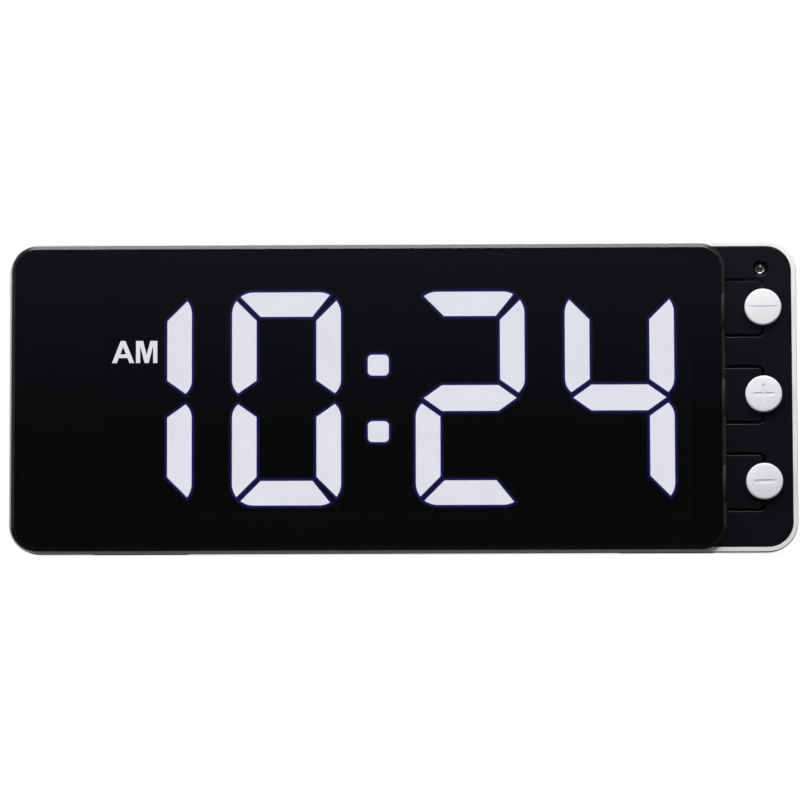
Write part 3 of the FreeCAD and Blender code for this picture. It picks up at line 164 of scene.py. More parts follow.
def carve(piece, tool):
    useModifier(piece, "BOOLEAN", operation="DIFFERENCE", object=tool, solver="EXACT")
    bpy.data.objects.remove(tool)


def joinPieces(name, pieces):
    clearSelection()
    for piece in pieces:
        piece.select_set(True)
    bpy.context.view_layer.objects.active = pieces[0]
    bpy.ops.object.join()
    pieces[0].name = name
    return pieces[0]


def camelName(name, ending):
    words = name.split("_")
    return words[0] + "".join(word.title() for word in words[1:]) + ending


def copyPiece(piece, shift):
    twin = piece.copy()
    twin.data = piece.data.copy()
    bpy.context.scene.collection.objects.link(twin)
    settle(twin, Matrix.Translation(shift))
    return twin


homes = {node: body for body, names in frame["record"]["behaviour"]["bodies"].items() for node in names}
slots = {part["node"]: part["material_slot"] for part in frame["record"]["subparts"]}


def finished(piece, finish, node, replaced=(), smooth=40):
    # leans the piece back and smooths it; it moves with the node that it stands for or sits on
    settle(piece, leanBack)
    pick(piece)
    bpy.ops.object.shade_smooth_by_angle(angle=math.radians(smooth))
    useModifier(piece, "WEIGHTED_NORMAL", weight=80, keep_sharp=True)     # keeps the flats flat
    piece.data.materials.clear()
    piece.data.materials.append(finish)
    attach(piece, homes[node])
    if replaced:
        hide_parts(*replaced)
    return piece


def faceBox(name):
    # lowest and highest corners of a node, seen upright
    points = [standUp @ vertex.co for vertex in nodes[name].data.vertices]
    return cornersOf(points)


def cornersOf(points):
    return (Vector([min(p[i] for p in points) for i in range(3)]),
            Vector([max(p[i] for p in points) for i in range(3)]))


def mergedCopy(name, label):
    # a copy of a node's solids, merged, cleared of needless edges and stood upright
    piece = nodes[name].copy()
    piece.data = nodes[name].data.copy()
    piece.name = label
    piece.parent = None
    bpy.context.scene.collection.objects.link(piece)
    settle(piece, standUp)
    edit(piece, "FACE", lambda c, n: True)
    bpy.ops.mesh.remove_doubles(threshold=0.002 * mm)
    bpy.ops.mesh.dissolve_limited(angle_limit=math.radians(1))
    bpy.ops.mesh.normals_make_consistent(inside=False)
    done()
    return piece


def looseBoxes(name):
    # corners of every separate solid in a node, upright
    copy = mergedCopy(name, name + "Parts")
    edit(copy, "FACE", lambda c, n: True)
    bpy.ops.mesh.separate(type="LOOSE")
    done()
    boxes = []
    for part in list(bpy.context.selected_objects):
        boxes.append(cornersOf([vertex.co for vertex in part.data.vertices]))
        bpy.data.objects.remove(part)
    return sorted(boxes, key=lambda box: (round(box[0].x, 4), box[0].z))


# Camera: a little above the clock and to its right

cameraSettings = {
    "distance": 1.2,
    "azimuth": 1.0,          # degrees to the right
    "elevation": 3.0,
    "focalLength": 177.6,
    "aim": (-0.0008, -0.018, 0.0469),
    "roll": -0.28,
}


def addCamera(settings):
    turn, rise = math.radians(settings["azimuth"]), math.radians(settings["elevation"])
    towards = Vector((math.sin(turn) * math.cos(rise), -math.cos(turn) * math.cos(rise), math.sin(rise)))
    camera = bpy.data.objects.new("photoCamera", bpy.data.cameras.new("photoCamera"))
    bpy.context.scene.collection.objects.link(camera)
    camera.location = Vector(settings["aim"]) + towards * settings["distance"]
    look = (-towards).to_track_quat("-Z", "Y")
    camera.rotation_euler = (look @ Quaternion((0, 0, 1), math.radians(settings["roll"]))).to_euler()
    camera.data.lens = settings["focalLength"]
    camera.data.sensor_width = 36
    camera.data.clip_start = 0.01
    bpy.context.scene.camera = camera


addCamera(cameraSettings)
print("camera ready")


# Shared effects, as node groups

def link(tree, source, target):
    tree.links.new(source, target)


def newGroup(name, inputs, outputs):
    # inputs are names with their usual values, outputs are names
    group = bpy.data.node_groups.new(name, "ShaderNodeTree")
    for label, value in inputs.items():
        socket = group.interface.new_socket(name=label, in_out="INPUT", socket_type="NodeSocketFloat")
        socket.default_value = value
    for label in outputs:
        group.interface.new_socket(name=label, in_out="OUTPUT", socket_type="NodeSocketFloat")
    start = group.nodes.new("NodeGroupInput")
    end = group.nodes.new("NodeGroupOutput")
    return group, start, end


def addNode(tree, kind, values=None, **settings):
    node = tree.nodes.new(kind)
    for key, value in settings.items():
        setattr(node, key, value)
    for key, value in (values or {}).items():
        node.inputs[key].default_value = value
    return node


def ramp(tree, source, low, high, start=0.0, end=1.0):
    # maps a value from low..high to start..end, clamped
    node = addNode(tree, "ShaderNodeMapRange",
                   {"From Min": low, "From Max": high, "To Min": start, "To Max": end})
    link(tree, source, node.inputs["Value"])
    return node.outputs["Result"]


def combine(tree, operation, *values):
    node = addNode(tree, "ShaderNodeMath", operation=operation)
    for index, value in enumerate(values):
        if isinstance(value, (int, float)):
            node.inputs[index].default_value = value
        else:
            link(tree, value, node.inputs[index])
    return node.outputs[0]


# Where the noise of each effect starts to count and where it counts in full
skinLook = {"tone": (0.3, 0.7)}
rubLook = {"turn": (0.99, 0.8), "patches": (0.4, 0.65)}
dustLook = {"rise": (0.3, 1.0), "patches": (0.35, 0.75), "colour": (0.45, 0.44, 0.42), "roughness": 0.4}


def makeMouldedSkin():
    # fine moulded texture with slow unevenness: a height for bump and a tone for colour and roughness
    group, start, end = newGroup("mouldedSkin", {"Grain": 2200.0, "Unevenness": 45.0}, ["Height", "Tone"])
    place = addNode(group, "ShaderNodeTexCoord")
    grain = addNode(group, "ShaderNodeTexNoise", {"Detail": 4.0, "Roughness": 0.6})
    slow = addNode(group, "ShaderNodeTexNoise", {"Detail": 3.0, "Roughness": 0.55})
    for noise, size in ((grain, "Grain"), (slow, "Unevenness")):
        link(group, place.outputs["Object"], noise.inputs["Vector"])
        link(group, start.outputs[size], noise.inputs["Scale"])
    fine, coarse = (combine(group, "MULTIPLY", noise.outputs["Fac"], share)
                    for noise, share in ((grain, 0.7), (slow, 0.3)))
    link(group, combine(group, "ADD", fine, coarse), end.inputs["Height"])
    link(group, ramp(group, slow.outputs["Fac"], *skinLook["tone"]), end.inputs["Tone"])
    return group


def makeEdgeRub():
    # mask of corners rubbed by hands, broken up by noise; on the black panel the same mask also places a
    # painted highlight along the edges
    group, start, end = newGroup("edgeRubAndSheen", {"Width": 0.5 * mm, "Breakup": 900.0}, ["Mask"])
    rounded = addNode(group, "ShaderNodeBevel", samples=4)
    link(group, start.outputs["Width"], rounded.inputs["Radius"])
    surface = addNode(group, "ShaderNodeNewGeometry")
    turn = addNode(group, "ShaderNodeVectorMath", operation="DOT_PRODUCT")
    link(group, rounded.outputs["Normal"], turn.inputs[0])
    link(group, surface.outputs["Normal"], turn.inputs[1])
    edge = ramp(group, turn.outputs["Value"], *rubLook["turn"])
    place = addNode(group, "ShaderNodeTexCoord")
    noise = addNode(group, "ShaderNodeTexNoise", {"Detail": 3.0})
    link(group, place.outputs["Object"], noise.inputs["Vector"])
    link(group, start.outputs["Breakup"], noise.inputs["Scale"])
    patches = ramp(group, noise.outputs["Fac"], *rubLook["patches"])
    link(group, combine(group, "MULTIPLY", edge, patches), end.inputs["Mask"])
    return group


def makeDustFilm():
    # thin dust on surfaces that face up, gathered in soft patches
    group, start, end = newGroup("dustFilm", {"Patches": 120.0}, ["Mask"])
    surface = addNode(group, "ShaderNodeNewGeometry")
    parts = addNode(group, "ShaderNodeSeparateXYZ")
    link(group, surface.outputs["Normal"], parts.inputs[0])
    place = addNode(group, "ShaderNodeTexCoord")
    noise = addNode(group, "ShaderNodeTexNoise", {"Detail": 5.0, "Roughness": 0.65})
    link(group, place.outputs["Object"], noise.inputs["Vector"])
    link(group, start.outputs["Patches"], noise.inputs["Scale"])
    rise = ramp(group, parts.outputs["Z"], *dustLook["rise"])
    patches = ramp(group, noise.outputs["Fac"], *dustLook["patches"])
    link(group, combine(group, "MULTIPLY", rise, patches), end.inputs["Mask"])
    return group


mouldedSkin = makeMouldedSkin()
edgeRubAndSheen = makeEdgeRub()
dustFilm = makeDustFilm()


def placeGroup(tree, group, values=None):
    node = tree.nodes.new("ShaderNodeGroup")
    node.node_tree = group
    for key, value in (values or {}).items():
        node.inputs[key].default_value = value
    return node


def mixColour(tree, mask, a, b):
    node = addNode(tree, "ShaderNodeMix", data_type="RGBA")
    link(tree, mask, node.inputs["Factor"])
    for index, value in ((6, a), (7, b)):
        if isinstance(value, tuple):
            node.inputs[index].default_value = (*value, 1)
        else:
            link(tree, value, node.inputs[index])
    return node.outputs[2]


def newFinish(name):
    finish = bpy.data.materials.new(name)
    finish.use_nodes = True
    tree = finish.node_tree
    shader = next(node for node in tree.nodes if node.type == "BSDF_PRINCIPLED")
    return finish, tree, shader


def addBump(tree, shader, height, depth):
    bump = addNode(tree, "ShaderNodeBump", {"Distance": depth, "Strength": 1.0})
    link(tree, height, bump.inputs["Height"])
    link(tree, bump.outputs["Normal"], shader.inputs["Normal"])


def makePlastic(name, colour, second, roughness, grain=2200.0, bump=0.02, rub=None, dust=0.0,
                specular=0.5):
    # colour and second are the two tones it drifts between, and roughness is a low and a high value; rub is
    # the width, colour and strength of rubbed edges, which on the black panel also stand for a painted
    # highlight along the edges
    finish, tree, shader = newFinish(name)
    skin = placeGroup(tree, mouldedSkin, {"Grain": grain})
    tone = mixColour(tree, skin.outputs["Tone"], colour, second)
    rough = ramp(tree, skin.outputs["Tone"], 0, 1, *roughness)
    if rub:
        width, bare, strength = rub
        worn = placeGroup(tree, edgeRubAndSheen, {"Width": width * mm})
        mask = combine(tree, "MULTIPLY", worn.outputs["Mask"], strength)
        # the rubbed-edge colour is wear, and on the black panel it is partly a painted highlight along the
        # slot edges
        tone = mixColour(tree, mask, tone, bare)
    if dust:
        film = placeGroup(tree, dustFilm)
        mask = combine(tree, "MULTIPLY", film.outputs["Mask"], dust)
        tone = mixColour(tree, mask, tone, dustLook["colour"])
        rough = combine(tree, "ADD", rough, combine(tree, "MULTIPLY", mask, dustLook["roughness"]))
    link(tree, tone, shader.inputs["Base Color"])
    link(tree, rough, shader.inputs["Roughness"])
    shader.inputs["Specular IOR Level"].default_value = specular
    addBump(tree, shader, skin.outputs["Height"], bump * mm)
    return finish


plasticFinishes = {
    "caseWhite": {"colour": (0.86, 0.85, 0.83), "second": (0.82, 0.81, 0.79), "roughness": (0.34, 0.42),
                  "grain": 3000.0, "bump": 0.012, "rub": (0.5, (0.9, 0.9, 0.88), 0.4), "dust": 0.12},
    # the panel's lighter rubbed edges are partly wear and partly a painted highlight along the slot edges
    "panelBlack": {"colour": (0.0045, 0.0045, 0.006), "second": (0.006, 0.006, 0.008),
                   "roughness": (0.07, 0.11), "grain": 1500.0, "bump": 0.003,
                   "rub": (0.25, (0.035, 0.035, 0.045), 0.8), "dust": 0.05, "specular": 0.32},
    "buttonWhite": {"colour": (0.83, 0.83, 0.83), "second": (0.78, 0.78, 0.79), "roughness": (0.38, 0.48),
                    "grain": 3600.0, "bump": 0.01},
    "reflectorBlack": {"colour": (0.004, 0.004, 0.005), "second": (0.006, 0.006, 0.007),
                       "roughness": (0.6, 0.75)},
    "segmentDark": {"colour": (0.006, 0.006, 0.008), "second": (0.008, 0.008, 0.01), "roughness": (0.5, 0.6)},
    "switchBlack": {"colour": (0.02, 0.02, 0.021), "second": (0.028, 0.028, 0.029), "roughness": (0.45, 0.6),
                    "rub": (0.2, (0.08, 0.08, 0.08), 0.6), "dust": 0.3},
    "chipBlack": {"colour": (0.018, 0.018, 0.02), "second": (0.03, 0.03, 0.032), "roughness": (0.5, 0.65),
                  "grain": 5000.0},
    "ledPackage": {"colour": (0.82, 0.8, 0.7), "second": (0.78, 0.74, 0.55), "roughness": (0.3, 0.45)},
    "footRubber": {"colour": (0.03, 0.03, 0.032), "second": (0.05, 0.05, 0.05), "roughness": (0.75, 0.9),
                   "grain": 1800.0, "bump": 0.05, "rub": (0.4, (0.12, 0.12, 0.12), 0.5), "dust": 0.6},
    "drumGrey": {"colour": (0.055, 0.057, 0.062), "second": (0.07, 0.072, 0.078), "roughness": (0.38, 0.5),
                 "grain": 2600.0, "bump": 0.02, "rub": (0.4, (0.2, 0.2, 0.21), 0.6), "dust": 0.25},
    "knobBlack": {"colour": (0.02, 0.02, 0.02), "second": (0.03, 0.03, 0.03), "roughness": (0.4, 0.55),
                  "rub": (0.2, (0.14, 0.14, 0.14), 0.8)},
    "ringBlack": {"colour": (0.016, 0.016, 0.017), "second": (0.024, 0.024, 0.025), "roughness": (0.55, 0.7),
                  "grain": 2400.0, "bump": 0.03, "rub": (0.3, (0.09, 0.09, 0.09), 0.7), "dust": 0.3},
    "plungerBrown": {"colour": (0.2, 0.09, 0.04), "second": (0.24, 0.11, 0.05), "roughness": (0.4, 0.5)},
    "tapeBlack": {"colour": (0.004, 0.004, 0.005), "second": (0.006, 0.006, 0.007), "roughness": (0.7, 0.85),
                  "specular": 0.2, "grain": 900.0, "bump": 0.05},
    "slideFilm": {"colour": (0.02, 0.02, 0.03), "second": (0.035, 0.03, 0.05), "roughness": (0.12, 0.25)},
}
finishes = {name: makePlastic(name, **values) for name, values in plasticFinishes.items()}


metalLook = {
    "brush": (2500.0, 60.0, 2500.0),     # the drawn lines run along y
    "lines": (0.3, 0.7),
    "lineDepth": 0.004,
    "tarnish": 220.0,
    "rubWidth": 0.2,
    "rubStrength": 0.5,
    "bare": (0.9, 0.89, 0.86),
}


def makeMetal(name, colour, second, roughness, look=metalLook):
    # metal with fine drawn lines, tarnish in patches and rubbed corners
    finish, tree, shader = newFinish(name)
    place = addNode(tree, "ShaderNodeTexCoord")
    stretch = addNode(tree, "ShaderNodeMapping", {"Scale": look["brush"]})
    link(tree, place.outputs["Object"], stretch.inputs["Vector"])
    lines = addNode(tree, "ShaderNodeTexNoise", {"Scale": 1.0, "Detail": 3.0})
    link(tree, stretch.outputs["Vector"], lines.inputs["Vector"])
    skin = placeGroup(tree, mouldedSkin, {"Unevenness": look["tarnish"]})
    worn = placeGroup(tree, edgeRubAndSheen, {"Width": look["rubWidth"] * mm})
    rubbed = combine(tree, "MULTIPLY", worn.outputs["Mask"], look["rubStrength"])
    tone = mixColour(tree, skin.outputs["Tone"], colour, second)
    tone = mixColour(tree, rubbed, tone, look["bare"])
    link(tree, tone, shader.inputs["Base Color"])
    shader.inputs["Metallic"].default_value = 1.0
    link(tree, ramp(tree, lines.outputs["Fac"], *look["lines"], *roughness), shader.inputs["Roughness"])
    addBump(tree, shader, lines.outputs["Fac"], look["lineDepth"] * mm)
    return finish


metalFinishes = {
    "screwSteel": {"colour": (0.56, 0.56, 0.57), "second": (0.42, 0.42, 0.43), "roughness": (0.25, 0.42)},
    "platedMetal": {"colour": (0.72, 0.72, 0.7), "second": (0.6, 0.6, 0.58), "roughness": (0.18, 0.3)},
    "cellSteel": {"colour": (0.68, 0.68, 0.66), "second": (0.58, 0.58, 0.56), "roughness": (0.2, 0.34)},
    "contactBrass": {"colour": (0.75, 0.55, 0.22), "second": (0.6, 0.42, 0.16), "roughness": (0.2, 0.4)},
}
finishes.update({name: makeMetal(name, **values) for name, values in metalFinishes.items()})

boardLook = {
    "lacquer": (0.075, 0.075, 0.09),
    "track": (0.12, 0.12, 0.135),
    "trackPitch": 1.3,
    "trackShare": 0.35,            # width of a track to its pitch
    "trackHeight": 0.02,
    "patches": 90.0,
    "filled": 0.72,                # share of the patches that have tracks
    "roughness": (0.25, 0.4),
}


def makeBoard(look):
    # dark board with lighter tracks under its lacquer, which run in two directions by patch
    finish, tree, shader = newFinish("circuitBoard")
    place = addNode(tree, "ShaderNodeTexCoord")
    parts = addNode(tree, "ShaderNodeSeparateXYZ")
    link(tree, place.outputs["Object"], parts.inputs[0])
    lanes = []
    for axis in ("X", "Z"):
        lane = combine(tree, "FRACT", combine(tree, "DIVIDE", parts.outputs[axis], look["trackPitch"] * mm))
        lanes.append(combine(tree, "LESS_THAN", lane, look["trackShare"]))
    patches = addNode(tree, "ShaderNodeTexVoronoi", {"Scale": look["patches"]})
    link(tree, place.outputs["Object"], patches.inputs["Vector"])
    tint = addNode(tree, "ShaderNodeSeparateColor")
    link(tree, patches.outputs["Color"], tint.inputs[0])
    across = combine(tree, "GREATER_THAN", tint.outputs[0], 0.5)
    used = combine(tree, "LESS_THAN", tint.outputs[1], look["filled"])
    chosen = combine(tree, "ADD", combine(tree, "MULTIPLY", across, lanes[0]),
                     combine(tree, "MULTIPLY", combine(tree, "SUBTRACT", 1.0, across), lanes[1]))
    track = combine(tree, "MULTIPLY", chosen, used)
    link(tree, mixColour(tree, track, look["lacquer"], look["track"]), shader.inputs["Base Color"])
    skin = placeGroup(tree, mouldedSkin)
    link(tree, ramp(tree, skin.outputs["Tone"], 0, 1, *look["roughness"]), shader.inputs["Roughness"])
    addBump(tree, shader, track, look["trackHeight"] * mm)
    return finish


finishes["circuitBoard"] = makeBoard(boardLook)

lensLook = {
    "tint": (0.09, 0.09, 0.092),   # what the smoked plastic lets through
    "roughness": 0.02,
    "index": 1.49,
    "marks": 0.06,                 # extra roughness of faint wipe marks
    "markScale": (18.0, 90.0, 160.0),
    "markTurn": 0.35,
    "markRange": (0.58, 0.8),
    "specks": 420.0,
    "speckSize": (0.05, 0.03),
    "speckRoughness": 0.1,
    "speckTint": 1.15,
}


def makeSmokedLens(look):
    # clear, dark plastic with a few faint wipe marks and specks of dust
    finish, tree, shader = newFinish("smokedLens")
    place = addNode(tree, "ShaderNodeTexCoord")
    stretch = addNode(tree, "ShaderNodeMapping",
                      {"Scale": look["markScale"], "Rotation": (0.0, look["markTurn"], 0.0)})
    link(tree, place.outputs["Object"], stretch.inputs["Vector"])
    wipes = addNode(tree, "ShaderNodeTexNoise", {"Scale": 1.0, "Detail": 4.0})
    link(tree, stretch.outputs["Vector"], wipes.inputs["Vector"])
    specks = addNode(tree, "ShaderNodeTexVoronoi", {"Scale": look["specks"]})
    link(tree, place.outputs["Object"], specks.inputs["Vector"])
    dot = ramp(tree, specks.outputs["Distance"], *look["speckSize"])
    mark = ramp(tree, wipes.outputs["Fac"], *look["markRange"], 0.0, look["marks"])
    rough = combine(tree, "ADD", combine(tree, "ADD", look["roughness"], mark),
                    combine(tree, "MULTIPLY", dot, look["speckRoughness"]))
    link(tree, rough, shader.inputs["Roughness"])
    pale = tuple(look["speckTint"] * c for c in look["tint"])
    link(tree, mixColour(tree, dot, look["tint"], pale), shader.inputs["Base Color"])
    shader.inputs["Transmission Weight"].default_value = 1.0
    shader.inputs["IOR"].default_value = look["index"]
    return finish


finishes["smokedLens"] = makeSmokedLens(lensLook)


clearLook = {"index": 1.52, "unevenness": 300.0, "haze": 0.96}


def makeClearPlastic(name, tint, roughness, look=clearLook):
    # clear epoxy or glass with a slight haze inside
    finish, tree, shader = newFinish(name)
    skin = placeGroup(tree, mouldedSkin, {"Unevenness": look["unevenness"]})
    hazy = tuple(look["haze"] * c for c in tint)
    link(tree, mixColour(tree, skin.outputs["Tone"], tint, hazy), shader.inputs["Base Color"])
    link(tree, ramp(tree, skin.outputs["Tone"], 0, 1, *roughness), shader.inputs["Roughness"])
    shader.inputs["Transmission Weight"].default_value = 1.0
    shader.inputs["IOR"].default_value = look["index"]
    return finish


finishes["sensorClear"] = makeClearPlastic("sensorClear", (0.97, 0.98, 0.96), (0.0, 0.03))
finishes["opticsGlass"] = makeClearPlastic("opticsGlass", (0.95, 0.97, 1.0), (0.0, 0.02))

lightLook = {
    "colour": (0.75, 0.75, 0.815),
    "strength": 11.8,
    "unevenness": 0.05,            # how much the diffuser varies
    "diffuser": {"Grain": 2600.0, "Unevenness": 60.0},
    "grainDepth": 0.01,
    "face": ((0.004, 0.004, 0.005), (0.006, 0.006, 0.007)),     # the surface that the light spreads into
    "faceRoughness": (0.6, 0.75),
    "halo": (0.13, 0.12, 0.8),
    "haloStrength": 1.9,
    "haloFade": 1.6,
}


def makeSegmentLight(look):
    # white diffuser lit from behind: even light, slightly mottled by the diffusing grains
    finish, tree, shader = newFinish("segmentLit")
    skin = placeGroup(tree, mouldedSkin, look["diffuser"])
    tone = mixColour(tree, skin.outputs["Tone"], look["colour"],
                     tuple(c * (1 - look["unevenness"]) for c in look["colour"]))
    link(tree, tone, shader.inputs["Emission Color"])
    link(tree, tone, shader.inputs["Base Color"])
    shader.inputs["Emission Strength"].default_value = look["strength"]
    shader.inputs["Roughness"].default_value = 0.5
    addBump(tree, shader, skin.outputs["Height"], look["grainDepth"] * mm)
    return finish


def makeHalo(look):
    # light that spreads from a segment into the surface round it; the mesh says how far it has faded
    finish, tree, shader = newFinish("segmentHalo")
    fade = addNode(tree, "ShaderNodeAttribute", attribute_name="fade")
    soft = combine(tree, "POWER", fade.outputs["Fac"], look["haloFade"])
    skin = placeGroup(tree, mouldedSkin)
    link(tree, mixColour(tree, skin.outputs["Tone"], *look["face"]), shader.inputs["Base Color"])
    link(tree, ramp(tree, skin.outputs["Tone"], 0, 1, *look["faceRoughness"]), shader.inputs["Roughness"])
    link(tree, mixColour(tree, soft, (0.0, 0.0, 0.0), look["halo"]), shader.inputs["Emission Color"])
    shader.inputs["Emission Strength"].default_value = look["haloStrength"]
    return finish


finishes["segmentLit"] = makeSegmentLight(lightLook)
finishes["segmentHalo"] = makeHalo(lightLook)
print("finishes ready:", len(finishes))


# Smoked lens: rounded plate with a bright chamfer round its face

lensShape = {"corner": 7.6, "cornerSegments": 14, "chamfer": 1.2, "softening": 0.1}


def makeLens(shape):
    low, high = faceBox("front_lens")
    lens = addBox("smokedLens", low, high)
    roundEdges(lens, lambda c, d: abs(d.y) > nearly * (high.y - low.y),
               shape["corner"] * mm, shape["cornerSegments"])
    roundEdges(lens, lambda c, d: c.y < low.y + hair, shape["chamfer"] * mm, 1)
    soften(lens, shape["softening"] * mm, angle=25)
    finished(lens, finishes["smokedLens"], "front_lens", ["front_lens"], smooth=20)


makeLens(lensShape)
print("lens made")


# Light that spreads from the lit segments into the face round them: thin, slightly sloping skirts

haloShape = {"reach": 1.1, "overlap": 0.13, "lift": 0.07, "slope": 0.05, "thickness": 0.01}


def makeSegmentHalo(name, shape):
    low, high = faceBox(name)
    skirt = mergedCopy(name, camelName(name.replace("_segments", ""), "Halo"))
    edit(skirt, "FACE", lambda c, n: abs(n.y) > mostly)
    bpy.ops.mesh.delete(type="FACE")
    done()
    inner = low.y - shape["lift"] * mm
    middle = (low.y + high.y) / 2
    edit(skirt, "VERT", lambda c: c.y < middle)
    bpy.ops.transform.shrink_fatten(value=-shape["overlap"] * mm, use_even_offset=True)
    bpy.ops.transform.resize(value=(1, 0, 1), center_override=(0, inner, 0))
    done()
    edit(skirt, "VERT", lambda c: c.y > middle)
    bpy.ops.transform.shrink_fatten(value=shape["reach"] * mm, use_even_offset=True)
    bpy.ops.transform.resize(value=(1, 0, 1), center_override=(0, inner + shape["slope"] * mm, 0))
    done()
    reach = skirt.data.attributes.new("fade", "FLOAT", "POINT")
    for index, vertex in enumerate(skirt.data.vertices):
        reach.data[index].value = 1.0 if vertex.co.y < inner + shape["slope"] * mm / 2 else 0.0
    useModifier(skirt, "SOLIDIFY", thickness=shape["thickness"] * mm, offset=0)
    finished(skirt, finishes["segmentHalo"], name)


for litName in ("hour_tens_segments", "hour_units_segments", "minute_tens_segments",
                "minute_units_segments", "colon_dots"):
    makeSegmentHalo(litName, haloShape)
print("light round the segments made")


# The two letters of the morning sign, in a black mask. A stroke is a slanting bar with level ends:
# the left and right of its foot, the left of its top, and the heights of both, all in letter heights

signShape = {
    "foot": 58.3,              # from the case's lower edge up to the letters
    "height": 6.75,
    "proud": 0.06,
    "maskEdge": 0.15,
    "softening": 0.03,
    "letters": {               # where each starts, from the case's middle, and its strokes
        "A": (-88.55, [(0, 0.212, 0.39, 0, 1), (0.79, 1.003, 0.39, 0, 1), (0.17, 0.83, 0.17, 0.228, 0.395)]),
        "M": (-81.25, [(0, 0.187, 0, 0, 1), (0.778, 0.965, 0.778, 0, 1), (0.39, 0.575, 0.133, 0, 1),
                       (0.39, 0.575, 0.647, 0, 1)]),
    },
}


def makeStroke(left, ground, front, stroke, shape):
    footLeft, footRight, topLeft, low, high = (value * shape["height"] * mm for value in stroke)
    bar = addBox("stroke", (left + footLeft, front - shape["proud"] * mm, ground + low),
                 (left + footRight, front + shape["proud"] * mm, ground + high))
    edit(bar, "VERT", lambda c: c.z > ground + (low + high) / 2)
    bpy.ops.transform.translate(value=(topLeft - footLeft, 0, 0))
    done()
    return bar


def makeMorningSign(shape):
    low, high = faceBox("am_indicator")
    ground = faceBox("rear_shell")[0].z + shape["foot"] * mm
    front = low.y - shape["proud"] * mm
    mask = addBox("morningMask", low, high)
    soften(mask, shape["maskEdge"] * mm)
    finished(mask, finishes["reflectorBlack"], "am_indicator")
    letters = []
    for name, (left, strokes) in shape["letters"].items():
        bars = [makeStroke(left * mm, ground, front, stroke, shape) for stroke in strokes]
        for bar in bars[1:]:
            useModifier(bars[0], "BOOLEAN", operation="UNION", object=bar, solver="EXACT")
            bpy.data.objects.remove(bar)
        letters.append(bars[0])
    sign = joinPieces("morningLetters", letters)
    soften(sign, shape["softening"] * mm, 1, 60)
    finished(sign, finishes["segmentLit"], "am_indicator", ["am_indicator"], smooth=30)


makeMorningSign(signShape)
print("morning sign made")


# Button caps with soft rims and pressed-in marks

buttonShape = {
    "sides": 96,
    "thickness": 1.8,
    "rim": 0.6,                # rounding of the front edge
    "rimSegments": 5,
    "dome": 0.25,              # how much the face bulges
    "domeSteps": 8,
    "stemRadius": 3.0,
    "softening": 0.06,
    "markDepth": 0.28,
    "markLift": -0.1,          # middle of the marks to the middle of the button
    "markRound": 0.45,         # rounding of a mark's ends to its width
    "plus": (6.1, 0.95),       # length and width of the bars
    "minus": (6.1, 1.1),
    "line": (8.2, 0.36),
    "lineLift": 0.2,
    "lineDepth": 0.34,
}


def markBox(middle, frontY, width, height, depth, rounding):
    low = (middle.x - width / 2, frontY - mm, middle.z - height / 2)
    high = (middle.x + width / 2, frontY + depth, middle.z + height / 2)
    box = addBox("mark", low, high)
    roundEdges(box, lambda c, d: abs(d.y) > nearly * (high[1] - low[1]), rounding * min(width, height), 4)
    return box


def makeButton(name, shape):
    low, high = faceBox(name + "_button")
    middle = (low + high) / 2
    radius = (high.x - low.x) / 2
    dome, steps = shape["dome"] * mm, shape["domeSteps"]
    cap = addRod(name + "Cap", (middle.x, low.y + dome, middle.z), radius, shape["thickness"] * mm - dome,
                 shape["sides"])
    roundEdges(cap, lambda c, d: c.y < low.y + dome + hair, shape["rim"] * mm, shape["rimSegments"])
    edit(cap, "FACE", lambda c, n: n.y < -fully)
    face = radius - shape["rim"] * mm
    for step in range(steps):
        # the bulge is a parabola, a ring at a time
        outer, inner = 1 - step / (steps + 1), 1 - (step + 1) / (steps + 1)
        bpy.ops.mesh.inset(thickness=face / (steps + 1), depth=dome * (outer ** 2 - inner ** 2))
    done()
    edit(cap, "FACE", lambda c, n: n.y > fully)
    bpy.ops.mesh.inset(thickness=radius - shape["stemRadius"] * mm)
    pull((0, high.y - low.y - shape["thickness"] * mm, 0))
    done()
    lift, depth, rounding = shape["markLift"] * mm, shape["markDepth"] * mm, shape["markRound"]
    if name == "mode":
        lift, depth = lift + shape["lineLift"] * mm, shape["lineDepth"] * mm
    spot = middle + Vector((0, 0, lift))
    length, width = (value * mm for value in shape["line" if name == "mode" else name])
    tools = [markBox(spot, low.y, length, width, depth, rounding)]
    if name == "plus":
        tools.append(markBox(spot, low.y, width, length, depth, rounding))
    for tool in tools:
        carve(cap, tool)
    soften(cap, shape["softening"] * mm, angle=40)
    finished(cap, finishes["buttonWhite"], name + "_button", [name + "_button"])


for buttonName in ("mode", "plus", "minus"):
    makeButton(buttonName, buttonShape)
print("buttons made")


# Light sensor: clear domed body with a metal cup and a dark chip inside

sensorShape = {
    "dome": 1.5,               # radius of the body
    "domeSides": 48,
    "domeSegments": 10,
    "domeRound": 0.97,         # rounding of the body's end to its radius
    "bodyLength": 5.3,
    "flange": 1.0,
    "flangeEdge": 0.08,
    "cup": 1.25,               # radius of the metal cup
    "cupSides": 32,
    "cupLength": 1.6,
    "cupRim": 0.12,
    "cupDepth": 0.7,
    "cupTaper": 0.55,
    "cupBack": 1.5,            # cup's rim behind the tip of the dome
    "cupEdge": 0.03,
    "chip": 0.4,               # half the side of the chip
    "chipTop": 0.22,
    "chipSunk": 0.05,
    "chipEdge": 0.04,
    "lead": 0.25,              # half the side of a lead
    "leadFrom": 1.2,
    "leadSpread": 2.032,       # between the leads' middles
    "leadEdge": 0.06,
}


